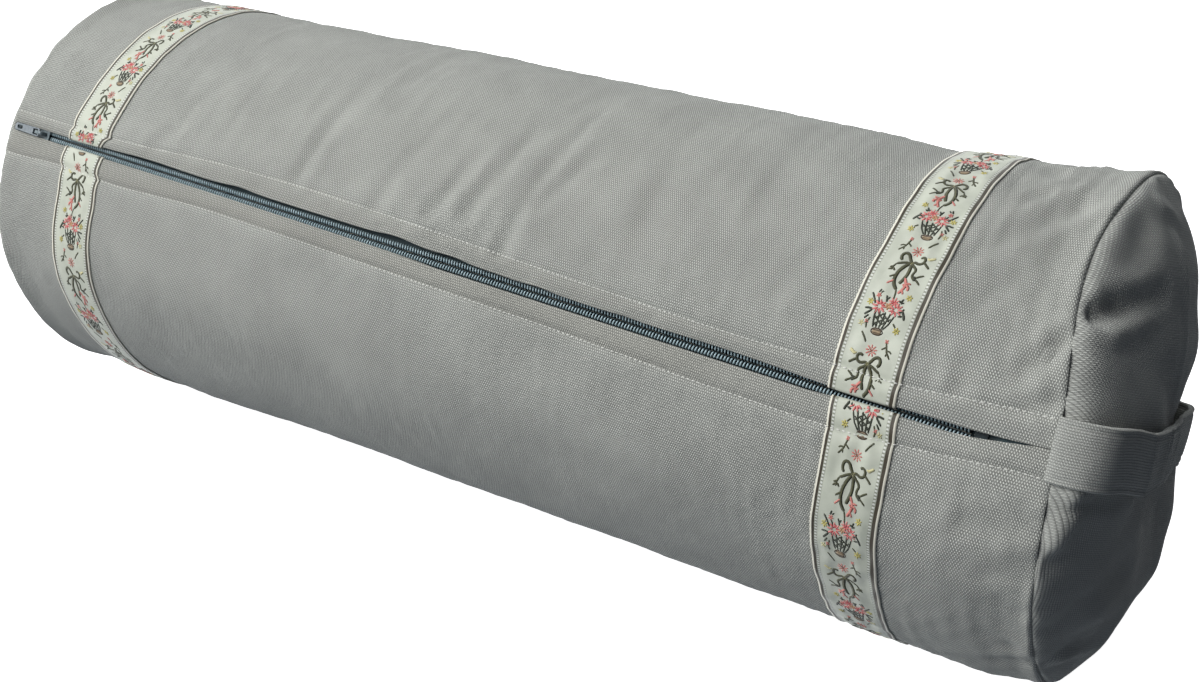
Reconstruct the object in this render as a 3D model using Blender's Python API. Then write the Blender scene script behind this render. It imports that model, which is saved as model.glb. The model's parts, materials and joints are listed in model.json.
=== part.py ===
"""A round yoga bolster: a zipped canvas cover with two woven ribbons and a carry handle,
over a sewn inner bag and its filling. Metres, +Z up, the long axis along X, the handle at +X,
the zip on the -Y side. The origin is on the ground, under the middle of the whole bolster."""

import math

import bmesh
import bpy
from mathutils import Matrix, Vector

# The round body
BODY_RADIUS = 0.110        # outside of the canvas tube
SEAM_TO_SEAM = 0.576       # the canvas tube, from one end seam to the other
DOME_RISE = 0.028          # how far the end panels swell out past their seams
DOME_FULLNESS = 3.6        # power of that swell: a higher one is boxier
PRESSED_DEPTH = 0.004      # how far the underside is pressed flat where it rests
DRAWN_IN = 0.002           # how far the tube draws in beside each end seam
DRAWN_IN_AT = 0.014        # where it is narrowest, from the seam

# Cloth layers
CANVAS = 0.0010            # thickness of the cover's canvas
CALICO = 0.0007            # thickness of the inner bag's cotton
LAYER_GAP = 0.0003         # clearance between two layers that lie on each other
INNER_GAP = 0.0004         # clearance round the inner bag, and between it and the filling
SEAM_ALLOWANCE = 0.008     # the end panels' edge, turned in along the tube

# Woven ribbons round the body
RIBBON_WIDTH = 0.0285
RIBBON_THICKNESS = 0.0006
RIBBON_FROM_LEFT_SEAM = 0.0455
RIBBON_FROM_RIGHT_SEAM = 0.0567
RIBBON_EDGE_SETBACK = 0.0006   # the ribbon's ends stop this far from the folded edges
RIBBON_FLOOR_GAP = 0.0001      # the ribbon's underside stays this far off the ground

# The zip line: a straight line that runs slightly downhill towards the handle
ZIP_ANGLE = math.radians(28.5)     # its height on the front, from level, at mid length
ZIP_SLOPE = 0.0374                 # its fall per unit of length, from the twist of the cover
ZIP_GAP = 0.0072                   # between the two folded edges of the canvas

# The zip, a size 5 coil
COIL_WIDTH = 0.0024            # one row of the coil
COIL_HEIGHT = 0.0022
COIL_MIDDLE_GAP = 0.0010       # between the two rows, for the slider's divider
TAPE_WIDTH = 0.0150            # one tape, from the middle gap outwards
TAPE_THICKNESS = 0.0006
TAPE_CLIMB = 0.0055            # beside the slider's path the tape climbs to the canvas over this width
TAPE_RISE = 0.0060             # past the coil's ends it climbs over this length
TAPE_STOP_GAP = 0.0006         # flat tape between a stop and that climb
TAPE_END_GAP = 0.0005          # the tapes end this far short of the seams
NOTCH_GAP = 0.0012             # between a tape and the end panels' turned-in edge
NOTCH_HEIGHT = 0.0160
COIL_LEFT_INSET = 0.0167       # bare tape between the left seam and the coil
COIL_RIGHT_INSET = 0.0279      # bare tape between the right seam and the coil
TOP_STOP_LENGTH = 0.0030
BOTTOM_STOP_LENGTH = 0.0050
STOP_WIDTH = 0.0024            # of one top stop, and of each half of the bottom stop
STOP_WALL = 0.0006

# The slider and its pull
SLIDER_LENGTH = 0.0105
SLIDER_SHOULDER_WIDTH = 0.0082
SLIDER_MOUTH_WIDTH = 0.0076
SLIDER_PLATE = 0.0009          # thickness of its two plates
SLIDER_DIVIDER = 0.0004        # thickness of the divider between the coil rows
SLIDER_RUNNING_GAP = 0.0003
SLIDER_SIDE_GAP = 0.0009       # between the slider's sides and the climbing tape
BAIL_LENGTH = 0.0066
BAIL_WIDTH = 0.0022
BAIL_THICKNESS = 0.0010
PULL_LENGTH = 0.0190
PULL_WIDTH = 0.0046
PULL_THICKNESS = 0.0010
PULL_ARM = 0.0008              # width of the two arms beside its eye
PULL_HOLE_LENGTH = 0.0040
PULL_HOLE_WIDTH = 0.0020
PULL_HOLE_FROM_TIP = 0.0017
PULL_CORNER = 0.0009           # corner radii of the pull, its eye and its hole
EYE_CORNER = 0.0003
HOLE_CORNER = 0.0004
EYE_SIDE_GAP = 0.0004          # between the pull's arms and the bail
EYE_END_GAP = 0.0006           # between the eye's end and the bail as the pull swings
PULL_LIFT = 0.00025            # its hinge line above the cover's surface at mid length

# Topstitching beside the zip
TOPSTITCH_OFFSET = 0.0125      # from the middle of the zip
THREAD_RADIUS = 0.00035
THREAD_STEP = 0.0015           # the thread climbs onto a ribbon over this length

# The carry handle across the right end panel
HANDLE_WIDTH = 0.0250
HANDLE_THICKNESS = 0.0028
HANDLE_BOW = 0.0130            # how far its slack side stands off the end panel

# Facets
STEPS_BETWEEN_RIBBONS = 4
ANGLES_BESIDE_ZIP = (0.06, 0.12, 0.19, 0.27, 0.36)   # radians from the zip's middle
COARSE_STEP = math.radians(10)
DOME_SHARES = (0.25, 0.45, 0.62, 0.76, 0.87, 0.95)   # of the rim's radius
DOME_SLANT = 1.3               # a cut along X through the slanted end panels is this much longer
HANDLE_STEPS = 30

HALF_LENGTH = SEAM_TO_SEAM / 2
AXIS_HEIGHT = BODY_RADIUS - PRESSED_DEPTH
RIBBON_STACK = LAYER_GAP + RIBBON_THICKNESS
LEFT_RIBBON = (-HALF_LENGTH + RIBBON_FROM_LEFT_SEAM, -HALF_LENGTH + RIBBON_FROM_LEFT_SEAM + RIBBON_WIDTH)
RIGHT_RIBBON = (HALF_LENGTH - RIBBON_FROM_RIGHT_SEAM - RIBBON_WIDTH, HALF_LENGTH - RIBBON_FROM_RIGHT_SEAM)
RIBBON_RAMP = 0.0008           # the pressed canvas steps down beside a ribbon over this length
GAP_EDGE = ZIP_GAP / 2 / BODY_RADIUS

# Depths of the layers under the cover's outside
FLANGE_TOP = CANVAS + LAYER_GAP
FLANGE_UNDER = FLANGE_TOP + CANVAS
BAG_TOP = FLANGE_UNDER + INNER_GAP
BAG_UNDER = BAG_TOP + CALICO
FILLING_TOP = BAG_UNDER + INNER_GAP
DOME_WALL = DOME_SLANT * CANVAS
BAG_DOME_WALL = DOME_SLANT * CALICO
BAG_SETBACK = DOME_WALL + LAYER_GAP
FILLING_SETBACK = BAG_SETBACK + BAG_DOME_WALL + INNER_GAP

# Places along the zip line, from its middle
COIL_START = -HALF_LENGTH + COIL_LEFT_INSET
COIL_END = HALF_LENGTH - COIL_RIGHT_INSET
SLIDER_CLOSED = COIL_START + SLIDER_LENGTH / 2
SLIDER_OPEN = COIL_END - SLIDER_LENGTH / 2 - SLIDER_RUNNING_GAP
STOP_START = COIL_START - SLIDER_RUNNING_GAP - TOP_STOP_LENGTH
STOP_END = COIL_END + LAYER_GAP + BOTTOM_STOP_LENGTH

# Heights above the zip line's own plane through the body's axis
HALF_GAP = COIL_MIDDLE_GAP / 2
TAPE_FLAT = SLIDER_SHOULDER_WIDTH / 2 + SLIDER_SIDE_GAP
SLIDER_REACH = SLIDER_SHOULDER_WIDTH / 2 + HALF_LENGTH * ZIP_SLOPE
PLATE_TOP = math.sqrt((BODY_RADIUS - CANVAS - LAYER_GAP) ** 2 - SLIDER_REACH ** 2)
COIL_TOP = PLATE_TOP - SLIDER_PLATE - SLIDER_RUNNING_GAP
COIL_UNDER = COIL_TOP - COIL_HEIGHT
TAPE_TOP = COIL_UNDER - LAYER_GAP
TAPE_UNDER = TAPE_TOP - TAPE_THICKNESS
BACK_PLATE_TOP = TAPE_UNDER - SLIDER_RUNNING_GAP
BACK_PLATE_UNDER = BACK_PLATE_TOP - SLIDER_PLATE
HINGE_HEIGHT = BODY_RADIUS + PULL_LIFT
GROOVE_DEPTH = BODY_RADIUS - BACK_PLATE_UNDER + LAYER_GAP - BAG_TOP
GROOVE_FLAT = SLIDER_SHOULDER_WIDTH / 2 + 0.0024
GROOVE_SLOPE = 0.0095


def eased(t):
    """0 below 0, 1 above 1, and a smooth step between."""
    t = min(max(t, 0.0), 1.0)
    return t * t * (3 - 2 * t)


def tube_radius(x, phi):
    """Outside radius of the canvas tube, drawn in a little beside the end seams, but not at
    the zip, which holds the canvas out."""
    t = max(HALF_LENGTH - abs(x), 0.0) / DRAWN_IN_AT
    away = eased((from_zip(phi) - math.radians(15)) / math.radians(30))
    return BODY_RADIUS - away * DRAWN_IN * (t * math.exp(1 - t)) ** 2


def zip_angle(x):
    """Angle of the zip line up from level on the front, at this place along the body."""
    return ZIP_ANGLE - math.atan(x * ZIP_SLOPE / BODY_RADIUS)


def from_zip(phi):
    """Angle between phi and the zip, the short way round."""
    phi = abs(phi) % math.tau
    return min(phi, math.tau - phi)


def angle_at(x, phi):
    """Mesh lines follow the slanting zip beside it, and run level elsewhere."""
    follow = 1 - eased((from_zip(phi) - math.radians(30)) / math.radians(60))
    return ZIP_ANGLE + phi + (zip_angle(x) - ZIP_ANGLE) * follow


def ribbon_lift(x):
    """The pressed underside steps up over a ribbon, which fills the step."""
    lift = 0.0
    for start, end in (LEFT_RIBBON, RIGHT_RIBBON):
        outside = max(start - x, x - end, 0.0)
        lift = max(lift, (RIBBON_STACK + RIBBON_FLOOR_GAP) * (1 - min(outside / RIBBON_RAMP, 1.0)))
    return lift


def cross_section(x, phi, depth):
    """Y and Z from the body's axis, at a depth under the cover's outside."""
    angle = angle_at(x, phi)
    radius = tube_radius(x, phi) - depth
    floor = -AXIS_HEIGHT + depth + ribbon_lift(x)
    return -radius * math.cos(angle), max(radius * math.sin(angle), floor)


def handle_path(p):
    """Middle of the handle's strap from the near seam, p = 0, to the far seam, p = 1, as
    height along the handle's line and reach past the end seam, with its outward slope."""
    rim = BODY_RADIUS - HANDLE_THICKNESS / 2
    q = rim * math.cos(math.pi * p)
    share = abs(q) / BODY_RADIUS
    slope = -math.copysign(DOME_FULLNESS * DOME_RISE / BODY_RADIUS * share ** (DOME_FULLNESS - 1), q)
    out = Vector((-slope, 1.0)).normalized()
    along = (rim - q) / (2 * rim)
    bow = HANDLE_BOW * math.sin(math.pi * along ** 2) ** 2
    lift = 2.2 * LAYER_GAP + HANDLE_THICKNESS / 2 + bow
    height = DOME_RISE * (1 - share ** DOME_FULLNESS)
    return q + out.x * lift, height + out.y * lift, out


HANDLE_REACH = max(
    handle_path(i / HANDLE_STEPS)[1] + handle_path(i / HANDLE_STEPS)[2].y * HANDLE_THICKNESS / 2
    for i in range(HANDLE_STEPS + 1)
)
MIDDLE = -(HANDLE_REACH - DOME_RISE) / 2   # moves the tube so that the whole is centred


def body_point(x, phi, depth):
    y, z = cross_section(x, phi, depth)
    return Vector((x + MIDDLE, y, z + AXIS_HEIGHT))


def zip_frame():
    """Axes of the zip: along it towards the handle, across it upwards, and out of the cover."""
    slant = math.atan(ZIP_SLOPE)
    out = Vector((0, -math.cos(ZIP_ANGLE), math.sin(ZIP_ANGLE)))
    up = Vector((0, math.sin(ZIP_ANGLE), math.cos(ZIP_ANGLE)))
    along = Vector((math.cos(slant), 0, 0)) - math.sin(slant) * up
    across = out.cross(along)
    frame = Matrix((along, across, out)).transposed().to_4x4()
    frame.translation = Vector((MIDDLE, 0, AXIS_HEIGHT))
    return frame


def clear_scene():
    for thing in list(bpy.data.objects):
        bpy.data.objects.remove(thing)


def material(name, colour, roughness, metallic=0.0):
    made = bpy.data.materials.new(name)
    made.use_nodes = True
    shader = made.node_tree.nodes["Principled BSDF"]
    shader.inputs["Base Color"].default_value = (*colour, 1.0)
    shader.inputs["Roughness"].default_value = roughness
    shader.inputs["Metallic"].default_value = metallic
    return made


def add_mesh(name, points, faces, finish, smooth_below=35):
    """A closed mesh object whose faces point out."""
    mesh = bpy.data.meshes.new(name)
    work = bmesh.new()
    corners = [work.verts.new(p) for p in points]
    for face in faces:
        work.faces.new([corners[i] for i in face])
    bmesh.ops.recalc_face_normals(work, faces=work.faces)
    work.to_mesh(mesh)
    work.free()
    mesh.shade_smooth()
    mesh.set_sharp_from_angle(angle=math.radians(smooth_below))
    mesh.materials.append(finish)
    made = bpy.data.objects.new(name, mesh)
    bpy.context.collection.objects.link(made)
    return made


def cut_quad(points, quad):
    """Two triangles of a quad, cut the same way on every layer, so that nested layers of
    cloth stay apart. Its corners run along one row and back along the next."""
    a, b, c, d = quad
    if points[a].x <= points[d].x:
        return [a, b, c], [a, c, d]
    return [a, b, d], [b, c, d]


def add_sheet(name, outside, inside, finish, wrap=False):
    """Cloth of two matching grids of points, joined round its edges.
    With wrap, each row closes on itself and only the first and last rows are edges."""
    rows = len(outside)
    columns = len(outside[0])
    points = [p for row in outside for p in row] + [p for row in inside for p in row]
    under = rows * columns

    def at(i, j):
        return i * columns + j % columns

    faces = []
    spans = columns if wrap else columns - 1
    for i in range(rows - 1):
        for j in range(spans):
            quad = [at(i, j), at(i, j + 1), at(i + 1, j + 1), at(i + 1, j)]
            for face in cut_quad(points, quad):
                faces.append(face)
                faces.append([under + k for k in reversed(face)])
    for j in range(spans):
        for i in (0, rows - 1):
            faces.append([at(i, j), at(i, j + 1), under + at(i, j + 1), under + at(i, j)])
    if not wrap:
        for i in range(rows - 1):
            for j in (0, columns - 1):
                faces.append([at(i, j), at(i + 1, j), under + at(i + 1, j), under + at(i, j)])
    return add_mesh(name, points, faces, finish)


def add_turned(name, rings, first_pole, last_pole, finish):
    """A closed solid of rings of points between two poles."""
    columns = len(rings[0])
    points = [p for ring in rings for p in ring] + [first_pole, last_pole]
    start = len(points) - 2
    end = len(points) - 1
    last = (len(rings) - 1) * columns
    faces = []
    for j in range(columns):
        k = (j + 1) % columns
        faces.append([start, j, k])
        faces.append([end, last + k, last + j])
        for i in range(len(rings) - 1):
            row = i * columns
            faces += cut_quad(points, [row + j, row + k, row + columns + k, row + columns + j])
    return add_mesh(name, points, faces, finish)


def add_bar(name, sections, finish):
    """A closed solid of matching outlines set one behind the other."""
    corners = len(sections[0])
    points = [p for section in sections for p in section]
    faces = [list(range(corners)), list(range(len(points) - corners, len(points)))]
    for i in range(len(sections) - 1):
        row = i * corners
        for j in range(corners):
            k = (j + 1) % corners
            faces.append([row + j, row + k, row + corners + k, row + corners + j])
    return add_mesh(name, points, faces, finish)


def round_angles():
    """Angles from the zip, from one folded edge of the canvas round to the other."""
    beside = [GAP_EDGE, *ANGLES_BESIDE_ZIP]
    count = round((math.tau - 2 * beside[-1]) / COARSE_STEP)
    step = (math.tau - 2 * beside[-1]) / count
    middle = [beside[-1] + step * i for i in range(1, count)]
    return beside + middle + [math.tau - phi for phi in reversed(beside)]


def end_offsets():
    """Distances from an end seam at which the tube's rings are set."""
    drawn_in = [DRAWN_IN_AT * share for share in (1.0, 1.5, 2.2)]
    return [0.0, SEAM_ALLOWANCE / 2, SEAM_ALLOWANCE, *drawn_in]


def plain_stations():
    """Places along the tube: close beside the seams, wide between the ribbons."""
    places = [-HALF_LENGTH + d for d in end_offsets()] + [HALF_LENGTH - d for d in end_offsets()]
    low = LEFT_RIBBON[1] + RIBBON_RAMP
    high = RIGHT_RIBBON[0] - RIBBON_RAMP
    places += [low + (high - low) * i / STEPS_BETWEEN_RIBBONS for i in range(STEPS_BETWEEN_RIBBONS + 1)]
    return sorted(places)


def tube_stations():
    """The same places, with both sides of each ribbon."""
    places = plain_stations() + [LEFT_RIBBON[0] - RIBBON_RAMP, RIGHT_RIBBON[1] + RIBBON_RAMP]
    return sorted(places + list(LEFT_RIBBON) + list(RIGHT_RIBBON))


def groove(x, phi):
    """Depth of the furrow that the zip presses into the stuffed bag."""
    side = from_zip(phi) * BODY_RADIUS
    across = 1 - eased((side - GROOVE_FLAT) / GROOVE_SLOPE)
    left = eased((x - (STOP_START - TAPE_RISE)) / (0.6 * TAPE_RISE))
    right = eased((STOP_END + TAPE_RISE - x) / (0.6 * TAPE_RISE))
    return GROOVE_DEPTH * across * min(left, right)


def make_cover_tube(canvas):
    angles = round_angles()
    outside = [[body_point(x, phi, 0) for phi in angles] for x in tube_stations()]
    inside = [[body_point(x, phi, CANVAS) for phi in angles] for x in tube_stations()]
    add_sheet("cover_tube", outside, inside, canvas)


def dome_ring(side, share, depth, setback, angles):
    """A ring of an end panel, at this share of its rim's radius."""
    seam = side * HALF_LENGTH
    height = DOME_RISE * (1 - share ** DOME_FULLNESS) - setback
    ring = []
    for phi in angles:
        y, z = cross_section(seam, phi, depth)
        ring.append(Vector((seam + side * height + MIDDLE, y * share, z * share + AXIS_HEIGHT)))
    return ring


def dome_pole(side, setback):
    return Vector((side * (HALF_LENGTH + DOME_RISE - setback) + MIDDLE, 0, AXIS_HEIGHT))


def level_ring(x, depth, angles):
    return [body_point(x, phi, depth) for phi in angles]


def zip_notch(name, side):
    """The cutter that keeps a panel's turned-in edge clear of the zip tapes."""
    seam = side * HALF_LENGTH
    width = 2 * (HALF_GAP + TAPE_WIDTH + NOTCH_GAP)
    length = SEAM_ALLOWANCE + NOTCH_GAP
    bpy.ops.mesh.primitive_cube_add(size=1)
    cutter = bpy.context.object
    cutter.name = name
    cutter.scale = (length, width, NOTCH_HEIGHT)
    bpy.ops.object.transform_apply(location=False, rotation=False, scale=True)
    angle = zip_angle(seam)
    cutter.rotation_euler = (math.pi / 2 - angle, 0, 0)
    cutter.location = (
        seam - side * length / 2 + MIDDLE,
        -BODY_RADIUS * math.cos(angle),
        BODY_RADIUS * math.sin(angle) + AXIS_HEIGHT,
    )
    cutter.hide_render = True
    cutter.display_type = "WIRE"
    return cutter


def make_cover_end(name, side, canvas):
    """A domed end panel whose edge is turned in along the inside of the tube."""
    angles = [0.0] + round_angles()
    seam = side * HALF_LENGTH
    rim_x = seam + side * LAYER_GAP
    flange = [seam - side * d for d in (SEAM_ALLOWANCE / 2, SEAM_ALLOWANCE)]
    rings = [dome_ring(side, share, 0, -LAYER_GAP, angles) for share in DOME_SHARES]
    rings.append(level_ring(rim_x, 0, angles))
    rings.append(level_ring(rim_x, FLANGE_TOP, angles))
    rings += [level_ring(x, FLANGE_TOP, angles) for x in flange]
    rings += [level_ring(x, FLANGE_UNDER, angles) for x in reversed(flange)]
    rings.append(level_ring(rim_x, FLANGE_UNDER, angles))
    rings += [
        dome_ring(side, share, 0, DOME_WALL - LAYER_GAP, angles) for share in reversed(DOME_SHARES)
    ]
    panel = add_turned(name, rings, dome_pole(side, -LAYER_GAP), dome_pole(side, DOME_WALL - LAYER_GAP), canvas)
    cut = panel.modifiers.new("zip notch", "BOOLEAN")
    cut.operation = "DIFFERENCE"
    cut.solver = "EXACT"
    cut.object = zip_notch(name + "_notch", side)


def make_ribbon(name, span, weave):
    """A woven ribbon round the body, whose ends stop at the zip's folded edges."""
    angles = round_angles()
    setback = RIBBON_EDGE_SETBACK / BODY_RADIUS
    angles[0] += setback
    angles[-1] -= setback
    outside = [[body_point(x, phi, -RIBBON_STACK) for phi in angles] for x in span]
    inside = [[body_point(x, phi, -LAYER_GAP) for phi in angles] for x in span]
    add_sheet(name, outside, inside, weave)


def tape_point(u, v, height, depth):
    """The tape lies flat under the coil, and climbs to the canvas beside it and past its ends."""
    beside = eased((abs(v) - TAPE_FLAT) / TAPE_CLIMB)
    past = max(
        eased((STOP_START - TAPE_STOP_GAP - u) / TAPE_RISE),
        eased((u - STOP_END - TAPE_STOP_GAP) / TAPE_RISE),
    )
    share = max(beside, past)
    flat = zip_frame() @ Vector((u, v, height))
    under_canvas = body_point(u * math.cos(math.atan(ZIP_SLOPE)), v / BODY_RADIUS, depth)
    return flat.lerp(under_canvas, share)


def make_tape(name, side, cloth):
    end = HALF_LENGTH - TAPE_END_GAP
    climb = [TAPE_STOP_GAP + TAPE_RISE * share for share in (0.0, 0.35, 0.75)]
    places = [-end] + [STOP_START - d for d in reversed(climb)]
    places += [x for x in tube_stations() if STOP_START < x < STOP_END]
    places += [STOP_END + d for d in climb] + [end]
    offsets = [HALF_GAP, HALF_GAP + COIL_WIDTH]
    offsets += [TAPE_FLAT + TAPE_CLIMB * i / 4 for i in range(5)]
    offsets.append(HALF_GAP + TAPE_WIDTH)
    top = FLANGE_TOP
    outside = [[tape_point(u, side * v, TAPE_TOP, top) for v in offsets] for u in places]
    inside = [
        [tape_point(u, side * v, TAPE_UNDER, top + TAPE_THICKNESS) for v in offsets] for u in places
    ]
    add_sheet(name, outside, inside, cloth)


def in_frame(thing, frame, u=0.0, height=0.0):
    """Puts an object, built about its own origin, at a place on the zip line."""
    thing.parent = frame
    thing.location = (u, 0, height)


def make_coil(name, side, nylon, frame):
    """One row of the coil, as a bar with a rounded back."""
    inner = HALF_GAP
    outer = HALF_GAP + COIL_WIDTH
    soft = COIL_HEIGHT / 4
    outline = [
        (inner, COIL_UNDER),
        (outer - soft, COIL_UNDER),
        (outer, COIL_UNDER + soft),
        (outer, COIL_TOP - soft),
        (outer - soft, COIL_TOP),
        (inner + soft, COIL_TOP),
        (inner, COIL_TOP - soft),
    ]
    sections = [[Vector((u, side * v, w)) for v, w in outline] for u in (COIL_START, COIL_END)]
    in_frame(add_bar(name, sections, nylon), frame)


def make_top_stop(name, side, metal, frame):
    """A small clamp on the edge of one tape, where the slider halts when the zip is closed."""
    edge = HALF_GAP - LAYER_GAP
    outline = [
        (edge - STOP_WALL / 4, TAPE_TOP + LAYER_GAP + STOP_WALL),
        (edge + STOP_WIDTH, TAPE_TOP + LAYER_GAP + STOP_WALL),
        (edge + STOP_WIDTH, TAPE_TOP + LAYER_GAP),
        (edge, TAPE_TOP + LAYER_GAP),
        (edge, TAPE_UNDER - LAYER_GAP),
        (edge + STOP_WIDTH, TAPE_UNDER - LAYER_GAP),
        (edge + STOP_WIDTH, TAPE_UNDER - LAYER_GAP - STOP_WALL),
        (edge - STOP_WALL / 4, TAPE_UNDER - LAYER_GAP - STOP_WALL),
    ]
    ends = (STOP_START, STOP_START + TOP_STOP_LENGTH)
    sections = [[Vector((u, side * v, w)) for v, w in outline] for u in ends]
    in_frame(add_bar(name, sections, metal), frame)


def mirrored(right_side):
    """An outline from its right half, run down the right and up the left."""
    return right_side + [(-v, w) for v, w in reversed(right_side)]


def make_bottom_stop(metal, frame):
    """The clamp over both tapes, where the slider halts when the zip is open."""
    top = TAPE_TOP + LAYER_GAP
    under = TAPE_UNDER - LAYER_GAP
    post = SLIDER_DIVIDER / 2
    outline = mirrored([
        (STOP_WIDTH, top + STOP_WALL),
        (STOP_WIDTH, top),
        (post, top),
        (post, under),
        (STOP_WIDTH, under),
        (STOP_WIDTH, under - STOP_WALL),
    ])
    ends = (STOP_END - BOTTOM_STOP_LENGTH, STOP_END)
    sections = [[Vector((u, v, w)) for v, w in outline] for u in ends]
    in_frame(add_bar("zip_bottom_stop", sections, metal), frame)


def slider_outline(width):
    """The slider cut across: two plates on a divider, with lips that hold the coil in."""
    half = width / 2
    lip = HALF_GAP + COIL_WIDTH + SLIDER_RUNNING_GAP
    post = SLIDER_DIVIDER / 2
    bevel = SLIDER_PLATE / 3
    return mirrored([
        (half - bevel, PLATE_TOP),
        (half, PLATE_TOP - bevel),
        (half, TAPE_TOP + SLIDER_RUNNING_GAP),
        (lip, TAPE_TOP + SLIDER_RUNNING_GAP),
        (lip, PLATE_TOP - SLIDER_PLATE),
        (post, PLATE_TOP - SLIDER_PLATE),
        (post, BACK_PLATE_TOP),
        (half - bevel, BACK_PLATE_TOP),
        (half - bevel, BACK_PLATE_UNDER),
    ])


def bail_outline(eye_height):
    """The bail from the side: an arch with a window for the pull's bar."""
    half = BAIL_LENGTH / 2
    window = half - BAIL_THICKNESS
    top = HINGE_HEIGHT + eye_height + BAIL_THICKNESS
    sink = PLATE_TOP - SLIDER_PLATE / 2
    slant = BAIL_THICKNESS * 0.5
    return [
        (-half, sink),
        (-half, top - slant),
        (-half + slant, top),
        (half - slant, top),
        (half, top - slant),
        (half, sink),
        (window, sink),
        (window, HINGE_HEIGHT + eye_height),
        (-window, HINGE_HEIGHT + eye_height),
        (-window, sink),
    ]


def make_slider(metal, frame):
    """The slider's body, with its bail joined on. Its origin is its place on the zip line."""
    half = SLIDER_LENGTH / 2
    shoulder = SLIDER_SHOULDER_WIDTH
    widths = [
        (-half, shoulder * 0.86),
        (-half * 0.8, shoulder),
        (-half * 0.2, shoulder),
        (half * 0.5, SLIDER_MOUTH_WIDTH),
        (half, SLIDER_MOUTH_WIDTH),
    ]
    sections = [[Vector((u, v, w)) for v, w in slider_outline(width)] for u, width in widths]
    body = add_bar("zip_slider", sections, metal)
    eye_height = PULL_THICKNESS / 2 * math.sqrt(2) + SLIDER_RUNNING_GAP
    outline = bail_outline(eye_height)
    arch = [[Vector((u, v, w)) for u, w in outline] for v in (-BAIL_WIDTH / 2, BAIL_WIDTH / 2)]
    bail = add_bar("zip_slider_bail", arch, metal)
    bail.hide_render = True
    bail.display_type = "WIRE"
    in_frame(body, frame, u=SLIDER_CLOSED)
    in_frame(bail, frame, u=SLIDER_CLOSED)
    join = body.modifiers.new("bail", "BOOLEAN")
    join.operation = "UNION"
    join.solver = "EXACT"
    join.object = bail


def add_outline(curve, corners):
    spline = curve.splines.new("POLY")
    spline.points.add(len(corners) - 1)
    for point, (u, v) in zip(spline.points, corners):
        point.co = (u, v, 0, 1)
    spline.use_cyclic_u = True


def rounded(start, end, half_width, corner):
    """A rectangle from start to end with its corners rounded, as a list of points."""
    corners = []
    centres = (
        (end - corner, half_width - corner, 0),
        (start + corner, half_width - corner, 1),
        (start + corner, -half_width + corner, 2),
        (end - corner, -half_width + corner, 3),
    )
    for u, v, quarter in centres:
        for i in range(4):
            angle = (quarter + i / 3) * math.pi / 2
            corners.append((u + corner * math.cos(angle), v + corner * math.sin(angle)))
    return corners


def make_pull(metal, frame):
    """The flat pull, with an eye round the bail and a slot at its tip. It lies to the left of
    its hinge line, which is its origin."""
    bar = PULL_THICKNESS / 2
    half_eye = BAIL_WIDTH / 2 + EYE_SIDE_GAP
    half_head = half_eye + PULL_ARM
    eye_end = -math.hypot(BAIL_LENGTH / 2, PULL_THICKNESS * 2) - EYE_END_GAP
    tip = bar - PULL_LENGTH
    curve = bpy.data.curves.new("zip_pull", "CURVE")
    curve.dimensions = "2D"
    curve.fill_mode = "BOTH"
    curve.extrude = PULL_THICKNESS / 2
    add_outline(curve, rounded(tip, bar, max(half_head, PULL_WIDTH / 2), PULL_CORNER))
    add_outline(curve, rounded(eye_end, -bar, half_eye, EYE_CORNER))
    hole = tip + PULL_HOLE_FROM_TIP
    add_outline(curve, rounded(hole, hole + PULL_HOLE_LENGTH, PULL_HOLE_WIDTH / 2, HOLE_CORNER))
    curve.materials.append(metal)
    pull = bpy.data.objects.new("zip_pull", curve)
    bpy.context.collection.objects.link(pull)
    in_frame(pull, frame, u=SLIDER_CLOSED, height=HINGE_HEIGHT)


def thread_route():
    """Places along the tube and depths of a row of topstitching, which steps up over the ribbons."""
    on_canvas = -LAYER_GAP - THREAD_RADIUS
    on_ribbon = on_canvas - RIBBON_STACK
    route = []
    for x in plain_stations():
        if all(x < start - THREAD_STEP or x > end + THREAD_STEP for start, end in (LEFT_RIBBON, RIGHT_RIBBON)):
            route.append((x, on_canvas))
    for start, end in (LEFT_RIBBON, RIGHT_RIBBON):
        route += [(start - THREAD_STEP, on_canvas), (start - THREAD_RADIUS, on_ribbon)]
        route += [(end + THREAD_RADIUS, on_ribbon), (end + THREAD_STEP, on_canvas)]
    return sorted(route)


def make_topstitch(name, side, thread):
    """One row of topstitching beside the zip."""
    curve = bpy.data.curves.new(name, "CURVE")
    curve.dimensions = "3D"
    curve.bevel_depth = THREAD_RADIUS
    curve.bevel_resolution = 1
    curve.use_fill_caps = True
    route = thread_route()
    spline = curve.splines.new("POLY")
    spline.points.add(len(route) - 1)
    for point, (x, depth) in zip(spline.points, route):
        point.co = (*body_point(x, side * TOPSTITCH_OFFSET / BODY_RADIUS, depth), 1)
    curve.materials.append(thread)
    bpy.context.collection.objects.link(bpy.data.objects.new(name, curve))


def make_handle(canvas):
    """The strap across the right end panel, both of whose ends go into the seam in line with
    the zip. Its far side stands off the panel, so that a hand goes under it."""
    seam = HALF_LENGTH
    angle = zip_angle(seam)
    line = Vector((0, -math.cos(angle), math.sin(angle)))
    across = Vector((0, math.sin(angle), math.cos(angle)))
    middle = Vector((seam + LAYER_GAP + MIDDLE, 0, AXIS_HEIGHT))
    sections = []
    for i in range(HANDLE_STEPS + 1):
        q, reach, out = handle_path(i / HANDLE_STEPS)
        section = []
        for side, face in ((-1, -1), (1, -1), (1, 1), (-1, 1)):
            half = face * HANDLE_THICKNESS / 2
            section.append(
                middle
                + line * (q + out.x * half)
                + Vector((reach + out.y * half, 0, 0))
                + across * side * HANDLE_WIDTH / 2
            )
        sections.append(section)
    add_bar("carry_handle", sections, canvas)


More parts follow.
